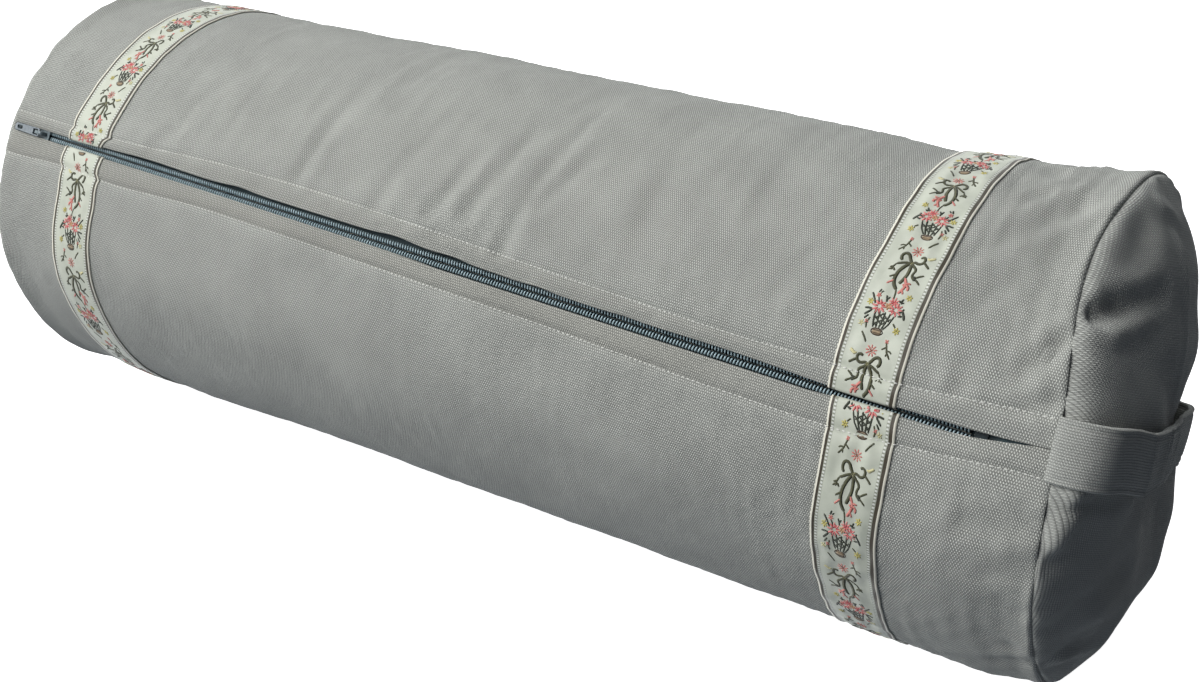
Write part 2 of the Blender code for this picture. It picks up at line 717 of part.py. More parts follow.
def bag_stations(setback):
    inner = [x for x in plain_stations() if abs(x) < HALF_LENGTH - setback - 0.001]
    end = HALF_LENGTH - setback
    return [-end] + inner + [end]


def bag_point(x, phi, depth):
    return body_point(x, phi, depth + groove(x, phi))


def make_bag_tube(calico):
    angles = [0.0] + round_angles()
    places = bag_stations(BAG_SETBACK + LAYER_GAP)
    outside = [[bag_point(x, phi, BAG_TOP) for phi in angles] for x in places]
    inside = [[bag_point(x, phi, BAG_UNDER) for phi in angles] for x in places]
    add_sheet("inner_bag_tube", outside, inside, calico, wrap=True)


def make_bag_end(name, side, calico):
    angles = [0.0] + round_angles()
    shares = DOME_SHARES
    rings = [dome_ring(side, share, BAG_TOP, BAG_SETBACK, angles) for share in shares]
    rings.append(dome_ring(side, 1.0, BAG_TOP, BAG_SETBACK, angles))
    rings.append(dome_ring(side, 1.0, BAG_UNDER, BAG_SETBACK, angles))
    inner_setback = BAG_SETBACK + BAG_DOME_WALL
    rings += [dome_ring(side, share, BAG_UNDER, inner_setback, angles) for share in reversed(shares)]
    add_turned(name, rings, dome_pole(side, BAG_SETBACK), dome_pole(side, inner_setback), calico)


def make_filling(stuffing):
    angles = [0.0] + round_angles()
    shares = DOME_SHARES
    rings = [dome_ring(-1, share, FILLING_TOP, FILLING_SETBACK, angles) for share in shares]
    for x in bag_stations(FILLING_SETBACK):
        rings.append([bag_point(x, phi, FILLING_TOP) for phi in angles])
    rings += [dome_ring(1, share, FILLING_TOP, FILLING_SETBACK, angles) for share in reversed(shares)]
    add_turned("filling", rings, dome_pole(-1, FILLING_SETBACK), dome_pole(1, FILLING_SETBACK), stuffing)


def make_zip(frame):
    tape = material("zip tape", (0.10, 0.16, 0.17), 0.8)
    nylon = material("zip coil", (0.07, 0.13, 0.14), 0.4)
    metal = material("zip metal", (0.16, 0.19, 0.22), 0.35, metallic=0.8)
    for name, side in (("upper", 1), ("lower", -1)):
        make_tape("zip_tape_" + name, side, tape)
        make_coil("zip_coil_" + name, side, nylon, frame)
        make_top_stop("zip_top_stop_" + name, side, metal, frame)
    make_bottom_stop(metal, frame)
    make_slider(metal, frame)
    make_pull(metal, frame)


def main():
    clear_scene()
    frame = bpy.data.objects.new("zip_line", None)
    frame.matrix_world = zip_frame()
    bpy.context.collection.objects.link(frame)
    canvas = material("grey canvas", (0.31, 0.315, 0.295), 0.9)
    weave = material("woven ribbon", (0.70, 0.71, 0.60), 0.6)
    thread = material("grey thread", (0.42, 0.42, 0.40), 0.7)
    calico = material("calico", (0.72, 0.68, 0.58), 0.9)
    stuffing = material("stuffing", (0.75, 0.72, 0.66), 1.0)
    make_cover_tube(canvas)
    make_cover_end("cover_end_left", -1, canvas)
    make_cover_end("cover_end_right", 1, canvas)
    make_handle(canvas)
    make_ribbon("ribbon_left", LEFT_RIBBON, weave)
    make_ribbon("ribbon_right", RIGHT_RIBBON, weave)
    make_zip(frame)
    make_topstitch("topstitch_upper", 1, thread)
    make_topstitch("topstitch_lower", -1, thread)
    make_bag_tube(calico)
    make_bag_end("inner_bag_end_left", -1, calico)
    make_bag_end("inner_bag_end_right", 1, calico)
    make_filling(stuffing)


main()
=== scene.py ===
"""The looks of the yoga bolster: canvas cover with gathered seams, woven ribbons with a traditional
flower basket pattern, a coil zip with its slider, a carry handle, and the stuffed bag inside."""

import json
import math

import bpy
import numpy as np
from mathutils import Matrix, Vector


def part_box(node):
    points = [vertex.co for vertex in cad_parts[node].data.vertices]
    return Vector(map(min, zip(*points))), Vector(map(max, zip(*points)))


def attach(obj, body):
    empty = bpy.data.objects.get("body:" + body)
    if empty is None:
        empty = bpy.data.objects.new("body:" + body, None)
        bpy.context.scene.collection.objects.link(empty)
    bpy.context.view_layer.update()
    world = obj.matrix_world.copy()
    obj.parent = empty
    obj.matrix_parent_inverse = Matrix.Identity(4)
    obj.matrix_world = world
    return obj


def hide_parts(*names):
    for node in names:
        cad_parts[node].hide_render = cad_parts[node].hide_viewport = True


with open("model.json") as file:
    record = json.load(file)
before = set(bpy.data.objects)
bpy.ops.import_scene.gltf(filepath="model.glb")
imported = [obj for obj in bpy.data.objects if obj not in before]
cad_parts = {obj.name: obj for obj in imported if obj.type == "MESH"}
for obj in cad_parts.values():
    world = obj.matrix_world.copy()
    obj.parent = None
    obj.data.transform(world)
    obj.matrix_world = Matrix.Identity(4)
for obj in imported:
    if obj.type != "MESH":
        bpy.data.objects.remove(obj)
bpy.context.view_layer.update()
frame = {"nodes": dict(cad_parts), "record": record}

MM = 0.001

# The CAD's driving sizes that the cloth follows
BODY_RADIUS = 0.110
PRESSED_DEPTH = 0.004
DOME_RISE = 0.028
DOME_FULLNESS = 3.6
DRAWN_IN = 0.002
DRAWN_IN_AT = 0.014
CANVAS = 0.0010
RIBBON_FILL = 0.0010           # the pressed underside steps up this much over a ribbon
RIBBON_RAMP = 0.0008
ZIP_ANGLE = math.radians(28.5)
ZIP_SLOPE = 0.0374
COIL_LEFT_INSET = 0.0167
COIL_RIGHT_INSET = 0.0279
COIL_MIDDLE_GAP = 0.0010
HANDLE_WIDTH = 0.0250
HANDLE_THICKNESS = 0.0028
LAYER_GAP = 0.0003
SLIDER_LENGTH = 0.0105

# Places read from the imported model
tube_low, tube_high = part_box("cover_tube")
HALF_LENGTH = (tube_high.x - tube_low.x) / 2
MIDDLE = (tube_high.x + tube_low.x) / 2
AXIS_HEIGHT = BODY_RADIUS - PRESSED_DEPTH
HALF_ROUND = math.pi * BODY_RADIUS
LEFT_RIBBON = tuple(corner.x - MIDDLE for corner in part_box("ribbon_left"))
RIGHT_RIBBON = tuple(corner.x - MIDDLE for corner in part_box("ribbon_right"))
COIL_START = -HALF_LENGTH + COIL_LEFT_INSET
COIL_END = HALF_LENGTH - COIL_RIGHT_INSET

joints = {joint["name"]: joint for joint in frame["record"]["behaviour"]["joints"]}
HINGE = Vector(joints["pull_flip"]["pos_m"])
ZIP_ALONG = Vector(joints["zip_slide"]["axis"]).normalized()
ZIP_ACROSS = Vector(joints["pull_flip"]["axis"]).normalized()
ZIP_OUT = ZIP_ALONG.cross(ZIP_ACROSS)
ZIP_ORIGIN = Vector((MIDDLE, 0, AXIS_HEIGHT))
SLIDER_CLOSED = (HINGE - ZIP_ORIGIN).dot(ZIP_ALONG)
HINGE_HEIGHT = (HINGE - ZIP_ORIGIN).dot(ZIP_OUT)

# Heights on the zip, from the body's axis
PLATE_TOP = 0.107678
SLIDER_PLATE = 0.0009
COIL_TOP = PLATE_TOP - SLIDER_PLATE - LAYER_GAP
COIL_HEIGHT = 0.0022
TAPE_THICKNESS = 0.0006
TAPE_TOP = COIL_TOP - COIL_HEIGHT - LAYER_GAP
TAPE_UNDER = TAPE_TOP - TAPE_THICKNESS


def eased(t):
    """0 below 0, 1 above 1, and a smooth step between."""
    t = np.clip(t, 0.0, 1.0)
    return t * t * (3 - 2 * t)


def within(span, x, height=1):
    """A height that eases in past the start of a span and out again before its end."""
    start, rise, end, fall = span
    return height * eased((x - start) / rise) * eased((end - x) / fall)


def bump_at(t):
    """A smooth hump of height 1 at 0 and of width 1."""
    return np.exp(-t * t)


def hump(x, middle, half):
    """The same round a place and with a half width in millimetres."""
    return bump_at((x - middle * MM) / (half * MM))


def points(*parts):
    """Coordinates that broadcast together, as one array of points."""
    return np.stack(np.broadcast_arrays(*parts), -1)


def unit(vectors):
    """Vectors at length 1."""
    return vectors / np.maximum(np.linalg.norm(vectors, axis=-1, keepdims=True), 1e-12)


def smoothed(x, places, steps):
    """Height over x of a line through places, averaged over steps to round its corners."""
    return sum(np.interp(x + step, *zip(*places)) for step in steps) / len(steps)


def line_through(x, places):
    """The same through places in millimetres."""
    return smoothed(x, np.array(places) * MM, (-0.012, -0.006, 0.0, 0.006, 0.012))


def half_turn(degrees):
    """The same direction, between -180 and 180 degrees."""
    return (degrees + 180) % 360 - 180


def over_angle(angle, places):
    """A gentle curve through places in degrees and millimetres, closed on itself."""
    degrees = np.degrees(angle)
    return MM * sum(np.interp(half_turn(degrees + step), *zip(*places)) for step in (-5, 0, 5)) / 3


def waves(u, v, seed, u_length, v_length, count=16):
    """Smooth noise of about unit size: plane waves of random lengths and phases."""
    draw = np.random.default_rng(seed)
    total = np.zeros(np.broadcast(u, v).shape)
    for _ in range(count):
        turns = draw.normal() / u_length * u + draw.normal() / v_length * v + draw.random()
        total += np.cos(math.tau * turns)
    return total / math.sqrt(count / 2)


# The opening beside the zip, along the tube and round it from the zip line, in millimetres
OPENING_MIDDLE = (
    (-288, 0), (-230, 0), (-177, 0.8), (-110, 1.2), (-20, 1.2), (60, -0.8), (107, -1.3),
    (150, -1.5), (200, -0.8), (250, 0), (263, 0), (270, 1.5), (279, 3.3), (288, 4.2),
)
OPENING_HALF = (
    (-288, 2.2), (-230, 2.5), (-177, 3.0), (-110, 3.4), (-20, 3.6), (60, 3.7), (160, 3.7),
    (205, 1.6), (240, 1.5), (250, 1.75), (262, 1.75), (267, 0.15), (288, 0.05),
)
COIL_COVERED = 0.0031          # the lower lip hides the coil's edge from here on
# The rows of topstitching
UPPER_STITCH = (
    (-288, 8.6), (-202, 9.1), (-138, 13.2), (-74, 14.2), (0, 12.6), (91, 10.1), (154, 8.9),
    (196, 10.0), (232, 9.7), (260, 12.9), (283, 15.2),
)
LOWER_STITCH = (
    (-280, -15.1), (-242, -12.6), (-206, -14.5), (-144, -10.9), (-81, -11.1), (-24, -11.7),
    (58, -12.3), (136, -14.3), (200, -14.9), (237, -12.5), (264, -9.3), (283, -7.5),
)
LIPS_DRAWN = 0.0006            # the upper lip is drawn in along the middle of the tube
# Where the upper lip lifts off the zip: middle along the tube, half length and lift
LIP_LIFTS = (
    (-186, 30, 1.0), (-121, 11, 0.9), (-21, 12, 1.0), (12, 9, 0.7), (60, 8, 0.6), (104, 9, 0.5),
)
# Small dents of the strip above the zip
STRIP_DENTS = (
    (-174.7, 7.2), (-162.2, 6.0), (-110, 8.3), (-62, 9.4), (-31.4, 7.0), (-19.2, 9.9),
    (14.7, 6.6), (53.4, 5.1), (101.3, 7.2), (118.1, 6.3), (-213, 8.0),
)
# Folds that the stuffing drags in the canvas: faint end, deep end, depth and half width
DRAG_FOLDS = (
    (7, 57.5, -7, 20.7, 1.2, 4), (25.3, 75, 12.7, 25.8, 1.4, 4.5), (45.4, 97.3, 36.4, 13.7, 1.3, 4),
    (60, 73.5, 46.7, 37.4, 1, 3.6), (-22, 80, -38, 16, 0.8, 4.5), (185.1, 63.3, 169.6, 30.8, 0.7, 4.5),
    (-140, 22.1, -140.9, 40.1, 0.5, 4), (-78.5, 87.1, -87.6, 18.7, 1.1, 4.5),
    (-155.1, 73.5, -182.6, 8.1, 0.7, 5), (95.5, 103.7, 98.6, 40, 0.6, 5.5),
    (144.7, 105.8, 147.1, 61.8, 0.6, 5.5), (238, 68, 272, 106, 2.1, 5.5), (268, 24, 285, 44, 2.4, 3.6),
    (271, 14, 287, 22, 1.6, 3.2), (254, 32, 252, 16, 1.1, 3), (238, 32, 254, 56, 0.9, 6),
    (247, 100, 255, 108, 1, 5), (286, -26, 262, -34, 1, 5), (270, -8, 290, -13.5, 0.9, 3.5),
    (276, -35, 292, -31, -0.9, 4), (262, -54, 290, -42, 0.9, 5), (262, -132, 292, -108, 1.4, 4.5),
    (244, 124, 250, 131, 0.8, 5),
)
# Where the stuffed body swells or sinks: place along the tube, angle up from level on the front,
# height, half length and half angle, in millimetres and degrees
BODY_SWELLS = (
    (268, -62, 4.7, 19, 30), (236, -62, 0.8, 20, 30), (-75, -59, -1.5, 50, 35), (-70, 121, 1.6, 45, 30),
    (196, 121, -2.6, 22, 32), (262, -10, 1.6, 16, 26), (0, 0, 2.6, 700, 15),
)

# Spans that ease in and out: start, rise, end and fall, along the tube but for the last
LIPS_DRAWN_SPAN = (-0.225, 0.030, 0.150, 0.050)
LEFT_STRAY_SPAN = (-HALF_LENGTH, 0.046, -0.129, 0.085)
RIGHT_STRAY_SPAN = (0.130, 0.070, 0.283, 0.050)
ZIP_FURROW_SPAN = (COIL_START - 0.0099, 0.0036, COIL_END + 0.0113, 0.0036)
SOFT_SEAM_SPAN = (-20, 14, 56, 10)     # degrees up from level on the front
SEAM_SOFTNESS = 0.55           # how much less the right seam shows there
# Limits of the puckers beside a seam
PUCKER_WIDTH = (0.0028, 0.0058)
PUCKER_DEPTH = (0.3, 1.0)
PUCKER_REACH = (0.006, 0.020)
PUCKER_SLANT = (-0.4, 0.4)
PUCKER_SPACING = (0.013, 0.030)
ENDS_FROM = 0.236              # the form of the ends begins this far from the middle
ENDS_RAMP = 0.046
STRAY_FROM = 0.225             # the right seam's straying begins here
FOLD_RADIUS = 0.00055          # of the canvas where it turns in beside the zip
HEM = 0.012                    # the turned-in canvas
LIP_SINK = 0.0008              # how far the folded edges lie below the body
STRIP_PUFF = 0.0007            # how far the strips beside the zip swell
STITCH_VALLEY = (0.0007, 0.0013)       # depth and half width of the valley of the stitches
STITCH_SHOULDER = (0.00035, 0.0045)    # height and half width of the rise past it
STRIP_DENT = 0.0006            # depth of the small dents
PULL_DENT = 0.0007             # depth of the dent where the pull lands
SEAM_ROLL = 0.0020             # radius at which the canvas turns into an end seam
# How far the right seam strays along the tube, by its angle up from level on the front, and how far
# it stands up there, in degrees and millimetres
SEAM_STRAY = (
    (-180, 0.5), (-120, 3.0), (-80, 5.0), (-40, 6.5), (-20, 5.5), (0, 6.0), (15, 5.2), (30, 3.7),
    (40, 0.5), (50, -3.8), (60, -6.8), (70, -7.9), (80, -7.1), (90, -5.0), (105, -4.5), (130, -3.5),
    (150, -2.0), (180, 0.5),
)
SEAM_HEIGHT = (
    (-180, 0), (-120, -1.5), (-75, -3.5), (-45, -4.0), (-20, -2.0), (0, 0), (60, 0.3), (78, 2.4),
    (95, 5.8), (112, 6.3), (130, 4.6), (155, 1.4), (180, 0),
)
LEFT_SEAM_HEIGHT = (
    (-180, 0), (-90, 0), (-60, 0.8), (-30, 0.5), (0, 0), (40, 0.5), (75, 2.2), (100, 2.6),
    (130, 1.5), (180, 0),
)
# How far the right end panel carries on along the tube before it turns in, by the same angle
RIGHT_SHOULDER = (
    (-180, 0.8), (-140, 0.8), (-90, 1.2), (-40, 1.2), (-10, 1.8), (2, 2.6), (12, 6.5), (18, 9.5),
    (32, 9.0), (44, 8.2), (50, 6.6), (55, 4.6), (59, 4.3), (66, 4.6), (76, 4.6), (88, 4.0), (98, 3.0),
    (112, 1.4), (140, 0.8), (180, 0.8),
)
LEFT_SHOULDER = ((-180, 2.4), (180, 2.4))
# The right end is slack under the strap and full below it: middle on the panel, half sizes and depth
END_SLACK = (
    (-55, -13, 75, 34, 9.0), (-52, -80, 64, 48, -4.2), (-80, 52, 50, 60, 4.0), (-8, -44, 34, 22, 2.4),
)
# How far each ribbon strays sideways, by its distance round from the zip line
RIGHT_STRAY = (
    (-110, 0), (-75, -0.5), (-55, -0.5), (-45, 0.2), (-30, 1.0), (-10, 0.8), (-5, 0), (-0.1, 0),
    (0.1, -2.5), (30, -2.4), (50, -1.3), (65, 0), (110, 0),
)
LEFT_STRAY = (
    (-100, -2.2), (-70, -2.2), (-45, -1.6), (-30, 0), (-12, 0), (12, -0.9), (30, 0.5), (55, 1.8),
    (90, 2), (130, 1),
)


def from_zip(arc):
    """Distance round the tube from the zip line, the short way."""
    away = np.abs(arc) % (2 * HALF_ROUND)
    return np.minimum(away, 2 * HALF_ROUND - away)


def zip_angle(x):
    """Angle up from level on the front, of the zip's slanting line."""
    return ZIP_ANGLE - np.arctan(x * ZIP_SLOPE / BODY_RADIUS)


def angle_at(x, arc):
    """Angle up from level on the front, of a place this far round from the zip line."""
    follow = 1 - eased((from_zip(arc) / BODY_RADIUS - math.radians(30)) / math.radians(60))
    return ZIP_ANGLE + arc / BODY_RADIUS + (zip_angle(x) - ZIP_ANGLE) * follow


def tube_radius(x, arc):
    """The plain tube's radius, drawn in a little beside both end seams."""
    t = np.maximum(HALF_LENGTH - np.abs(x), 0.0) / DRAWN_IN_AT
    away = eased((from_zip(arc) / BODY_RADIUS - math.radians(15)) / math.radians(30))
    return BODY_RADIUS - away * DRAWN_IN * (t * np.exp(1 - t)) ** 2


def ribbon_lift(x):
    """The pressed underside steps up over a ribbon, which fills the step."""
    lift = 0.0
    for start, end in (LEFT_RIBBON, RIGHT_RIBBON):
        outside = np.maximum(np.maximum(start - x, x - end), 0.0)
        lift = lift + RIBBON_FILL * (1 - np.clip(outside / RIBBON_RAMP, 0, 1))
    return lift


def signed_arc(arc):
    """Distance round from the zip line, below 0 on its lower side."""
    return np.where(arc < HALF_ROUND, arc, arc - 2 * HALF_ROUND)


def side_of(arc):
    return np.where(arc < HALF_ROUND, 1, -1)


def form(x, angle):
    """How far the stuffed shape differs from the plain tube, in height."""
    total = 0
    for way, places in ((1, SEAM_HEIGHT), (-1, LEFT_SEAM_HEIGHT)):
        total = total + over_angle(angle, places) * eased((way * x - ENDS_FROM) / ENDS_RAMP)
    for middle, turn, height, half, half_angle in BODY_SWELLS:
        apart = half_turn(np.degrees(angle) - turn)
        total = total + height * MM * hump(x, middle, half) * bump_at(apart / half_angle)
    return total


def seam_softness(angle):
    """The right end's seam hardly shows where the panel carries on from the tube."""
    degrees = half_turn(np.degrees(angle))
    return 1 - within(SOFT_SEAM_SPAN, degrees, SEAM_SOFTNESS)


def fold_edge(x, side):
    """How far round from the zip line a folded edge lies."""
    edge = line_through(x, OPENING_MIDDLE) + side * line_through(x, OPENING_HALF)
    spread = sum(lift * MM * hump(x, middle, half) for middle, half, lift in LIP_LIFTS)
    drawn = within(LIPS_DRAWN_SPAN, x, LIPS_DRAWN)
    return np.where(side > 0, edge + 1.1 * spread - drawn, np.maximum(edge, -COIL_COVERED))


def stitch_line(x, side):
    """How far round from the zip line a row of topstitching lies."""
    return np.where(side > 0, line_through(x, UPPER_STITCH), line_through(x, LOWER_STITCH))


def folds(u, v, lines):
    """Height of straight folds, each a valley with a low ridge on both sides."""
    total = np.zeros(np.broadcast(u, v).shape)
    for u0, v0, u1, v1, depth, width in lines:
        du, dv = (u1 - u0) * MM, (v1 - v0) * MM
        along = np.clip(((u - u0 * MM) * du + (v - v0 * MM) * dv) / (du * du + dv * dv), 0, 1)
        across = np.hypot(u - u0 * MM - along * du, v - v0 * MM - along * dv) / (width * MM)
        total += depth * MM * (0.3 + 0.7 * along) * (0.45 * bump_at(across - 1.8) - bump_at(across))
    return total


def gathers(round_seam, from_seam, length, seed, strength):
    """Small puckers that run out from a seam, at uneven places round it."""
    draw = np.random.default_rng(seed)
    total = np.zeros(np.broadcast(round_seam, from_seam).shape)
    onset = 1 - np.exp(-from_seam / 0.002)
    place = 0.0
    while place < length:
        width = draw.uniform(*PUCKER_WIDTH)
        depth = draw.uniform(*PUCKER_DEPTH) * strength
        reach = draw.uniform(*PUCKER_REACH)
        slant = draw.uniform(*PUCKER_SLANT)
        across = (round_seam - place - slant * from_seam) / width
        shape = bump_at(across) - 0.5 * bump_at(np.abs(across) - 1.9)
        total -= depth * shape * onset * np.exp(-(from_seam / reach) ** 1.5)
        place += draw.uniform(*PUCKER_SPACING)
    return total


def strip_relief(x, signed, side):
    """The puffed strips beside the zip, the valley of the stitches and the lifted lip."""
    edge = side * fold_edge(x, side)
    stitch = side * stitch_line(x, side)
    away = side * signed
    across = np.clip((away - edge) / (stitch - edge), 0, 1)
    sink = LIP_SINK * (1 - 0.4 * eased((x - 0.185) / 0.036))
    total = -sink * np.cos(across * math.pi / 2) ** 2 + STRIP_PUFF * np.sin(across * math.pi) ** 1.5
    rise, rise_half = STITCH_SHOULDER
    total = total + rise * bump_at((away - stitch) / rise_half - 1.2) * (away > stitch)
    depth, half = STITCH_VALLEY
    total = total - depth * bump_at((away - stitch) / half)
    for middle, half, lift in LIP_LIFTS:
        near = 0.7 * hump(x, middle, half) * np.exp(-np.maximum(away - edge, 0) / 0.004)
        total = total + np.where(side > 0, lift * MM * near, 0)
    for middle, arc in STRIP_DENTS:
        total = total - STRIP_DENT * hump(x, middle, 2) * hump(signed, arc, 2)
    return total - PULL_DENT * hump(x, 268, 20) * hump(away, 0, 7)


def seam_roll(t):
    """How far the canvas has turned in at a distance t from an end seam."""
    short = np.clip(SEAM_ROLL - t, 0, SEAM_ROLL)
    return SEAM_ROLL - np.sqrt(SEAM_ROLL ** 2 - short ** 2)


GATHER_DEPTH = 0.0008          # of the puckers along the tube's seams
PANEL_GATHER_DEPTH = 0.0010


def relief(x, arc):
    """How far the canvas stands off the smooth tube."""
    signed = signed_arc(arc)
    beside_zip = eased((np.abs(signed) - 0.004) / 0.02)
    total = strip_relief(x, signed, side_of(arc))
    total = total + folds(x, signed, DRAG_FOLDS) * eased(np.abs(signed) / 0.010)
    upper = 0.6 + 0.4 * np.sin(signed / BODY_RADIUS)
    rough = 0.00009 + 0.00016 * eased((x - 0.13) / 0.12)
    swells = ((0.00016 * upper, 3, 0.040, 0.120), (0.00030, 4, 0.110, 0.160), (rough, 5, 0.014, 0.022))
    for size, seed, length, girth in swells:
        total = total + size * beside_zip * waves(x, signed, seed, length, girth)
    from_left = np.maximum(x + HALF_LENGTH, 0)
    from_right = np.maximum(HALF_LENGTH - x, 0)
    for away, seed in ((from_left, 11), (from_right, 12)):
        total = total + gathers(arc, away, 2 * HALF_ROUND, seed, GATHER_DEPTH) * beside_zip
    angle = angle_at(x, arc)
    total = total + form(x, angle)
    return total - seam_roll(from_left) - seam_roll(from_right) * seam_softness(angle)


def skew(x, arc):
    """The ribbons stray a little, and beside the zip the left one slips on between stitches and fold."""
    signed = signed_arc(arc)
    pinch = np.clip((x - LEFT_RIBBON[0]) / (LEFT_RIBBON[1] - LEFT_RIBBON[0]), 0, 1)
    above = (0.0012 + 0.0038 * pinch) * np.clip((0.0090 - signed) / 0.0064, 0, 1)
    below = 0.0016 * np.clip((signed + 0.0134) / 0.0014, 0, 1)
    left = MM * smoothed(signed / MM, LEFT_STRAY, (-2, 0, 2)) - np.where(signed > 0, above, below)
    steps = np.where(np.abs(signed) < 0.0021, 0, 2)
    right = MM * smoothed(signed / MM, RIGHT_STRAY, (-steps, 0, steps))
    return within(LEFT_STRAY_SPAN, x, left) + within(RIGHT_STRAY_SPAN, x, right)


def soft_floor(z, floor, soft=0.0008):
    """z kept above the floor, with a rounded corner where it meets it."""
    rise = np.clip((z - floor) / soft, -30, 30)
    return np.where(z - floor > 20 * soft, z, floor + soft * np.log1p(np.exp(rise)))


def along_tube(x, angle):
    """World x of a place on the tube, whose right end follows its straying seam."""
    return x + MIDDLE + over_angle(angle, SEAM_STRAY) * eased((x - STRAY_FROM) / (HALF_LENGTH - STRAY_FROM))


def skin(x, arc, out):
    """World points at a height over the cover's canvas."""
    angle = angle_at(x, arc)
    radius = tube_radius(x, arc) + relief(x, arc) + out
    z = soft_floor(radius * np.sin(angle), -AXIS_HEIGHT - out + ribbon_lift(x))
    return points(along_tube(x, angle) + skew(x, arc), -radius * np.cos(angle), z + AXIS_HEIGHT)


def cover_point(x, arc, out):
    """World points of cloth sewn on the cover, which turns in round the folds beside the zip."""
    side = side_of(arc)
    signed = signed_arc(arc)
    radius = FOLD_RADIUS
    crown = fold_edge(x, side) + side * radius
    away = side * (signed - crown)
    turn = np.clip(-away / radius, 0, math.pi)
    back = np.maximum(-away - math.pi * radius, 0)
    folded = crown + side * (back - (radius + out) * np.sin(turn))
    height = -radius + (radius + out) * np.cos(turn)
    place = np.where(away >= 0, signed, folded)
    middle = line_through(x, OPENING_MIDDLE)
    place = np.where(side > 0, np.maximum(place, middle), np.minimum(place, middle) + 2 * HALF_ROUND)
    return skin(x, place, np.where(away >= 0, out, height))


def tube_faces(parts, wrapped=False):
    """Faces of tubes whose points follow each other in one list. Each is closed at both ends, or
    wrapped so that its last ring meets its first."""
    faces = []
    start = 0
    for part in parts:
        count, corners = part.shape[:2]
        i = np.arange(count if wrapped else count - 1)[:, None]
        j = np.arange(corners)
        beside = (j + 1) % corners
        here = start + i * corners
        after = start + (i + 1) % count * corners
        faces += points(here + j, here + beside, after + beside, after + j).reshape(-1, 4).tolist()
        if not wrapped:
            last = start + (count - 1) * corners
            faces += [list(range(start, start + corners))[::-1], list(range(last, last + corners))]
        start += count * corners
    return faces


def add_tubes(name, parts, finish, uv=None, tint_and_painted_shade=None, wrapped=False):
    """A mesh of one or more tubes, each given as rings of points one behind the other."""
    places = np.concatenate([part.reshape(-1, 3) for part in parts])
    return add_mesh(name, places, tube_faces(parts, wrapped), finish, uv, tint_and_painted_shade)


def add_mesh(name, places, faces, finish, uv=None, tint_and_painted_shade=None):
    mesh = bpy.data.meshes.new(name)
    mesh.from_pydata(places.tolist(), [], faces)
    if uv is not None:
        corners = np.empty(len(mesh.loops), dtype=np.int32)
        mesh.loops.foreach_get("vertex_index", corners)
        layer = mesh.uv_layers.new(name="weave")
        layer.data.foreach_set("uv", uv.reshape(-1, 2)[corners].astype(np.float32).ravel())
    # The strip attribute carries the darker tint of the canvas strips beside the zip and the painted shade
    # on the coil.
    if tint_and_painted_shade is not None:
        attribute = mesh.attributes.new("strip", "FLOAT", "POINT")
        attribute.data.foreach_set("value", tint_and_painted_shade.astype(np.float32).ravel())
    mesh.validate()
    mesh.shade_smooth()
    for one in finish if isinstance(finish, list) else [finish]:
        mesh.materials.append(one)
    return link(name, mesh)


def link(name, data):
    made = bpy.data.objects.new(name, data)
    bpy.context.collection.objects.link(made)
    return made


class Nodes:
    """A node tree with short ways to add to it."""

    def __init__(self, tree):
        self.tree = tree

    def give(self, socket, value):
        if isinstance(value, bpy.types.NodeSocket):
            self.tree.links.new(value, socket)
        else:
            socket.default_value = (*value, 1.0) if socket.type == "RGBA" else value

    def node(self, kind, *values, output=0, inputs=(), **settings):
        made = self.tree.nodes.new(kind)
        for name, value in settings.items():
            setattr(made, name, value)
        for name, value in (dict(enumerate(values)) | dict(inputs)).items():
            self.give(made.inputs[name], value)
        return made.outputs[output]

    def ramp(self, value, low, high, to_low=0.0, to_high=1.0):
        return self.node("ShaderNodeMapRange", value, low, high, to_low, to_high)


class Shader(Nodes):
    """A material under construction."""

    def __init__(self, name):
        self.material = bpy.data.materials.new(name)
        self.material.use_nodes = True
        super().__init__(self.material.node_tree)

    def maths(self, operation, *values, clamp=False):
        return self.node("ShaderNodeMath", *values, operation=operation, use_clamp=clamp)

    def plus(self, value, factor, extra, clamp=False):
        """The value times a factor, added to something."""
        return self.maths("MULTIPLY_ADD", value, factor, extra, clamp=clamp)

    def less(self, value, other):
        return self.maths("SUBTRACT", value, other)

    def sine(self, value, period):
        return self.maths("SINE", self.maths("MULTIPLY", value, math.tau / period))

    def mix(self, share, first, second, blend="MIX"):
        inputs = {0: share, 6: first, 7: second}
        return self.node("ShaderNodeMix", output=2, data_type="RGBA", blend_type=blend, inputs=inputs)

    def noise(self, scale, detail, coordinates=None):
        inputs = {"Vector": coordinates or self.place(), "Scale": scale, "Detail": detail}
        return self.node("ShaderNodeTexNoise", inputs=inputs)

    def patches(self, scale, detail, coordinates=None, low=0.0, high=1.0):
        """Noise with its usual range spread from low to high."""
        return self.ramp(self.noise(scale, detail, coordinates), 0.3, 0.7, low, high)

    def place(self):
        return self.node("ShaderNodeTexCoord", output=3)

    def weave_uv(self):
        return self.node("ShaderNodeUVMap", uv_map="weave")

    def tint_and_painted_shade(self):
        return self.node("ShaderNodeAttribute", output=2, attribute_name="strip")

    def split(self, vector):
        x = self.node("ShaderNodeSeparateXYZ", vector)
        return x.node.outputs

    def bump(self, height, distance, strength=1.0):
        inputs = {"Strength": strength, "Distance": distance, "Height": height}
        return self.node("ShaderNodeBump", inputs=inputs)

    def set(self, **inputs):
        surface = self.tree.nodes["Principled BSDF"]
        for name, value in inputs.items():
            self.give(surface.inputs[name.replace("_", " ")], value)
        return self.material


def plain_weave(shader, pitches):
    """Yarns over and under each other: above 0 where the one round the body is on top."""
    uv = shader.weave_uv()
    drift = shader.plus(shader.noise(260.0, 1.0, uv), 0.24, -0.12)
    over = [
        shader.maths("SINE", shader.plus(way, math.pi / pitch, drift))
        for way, pitch in zip(shader.split(uv), pitches)
    ]
    return shader.maths("MULTIPLY", *over)


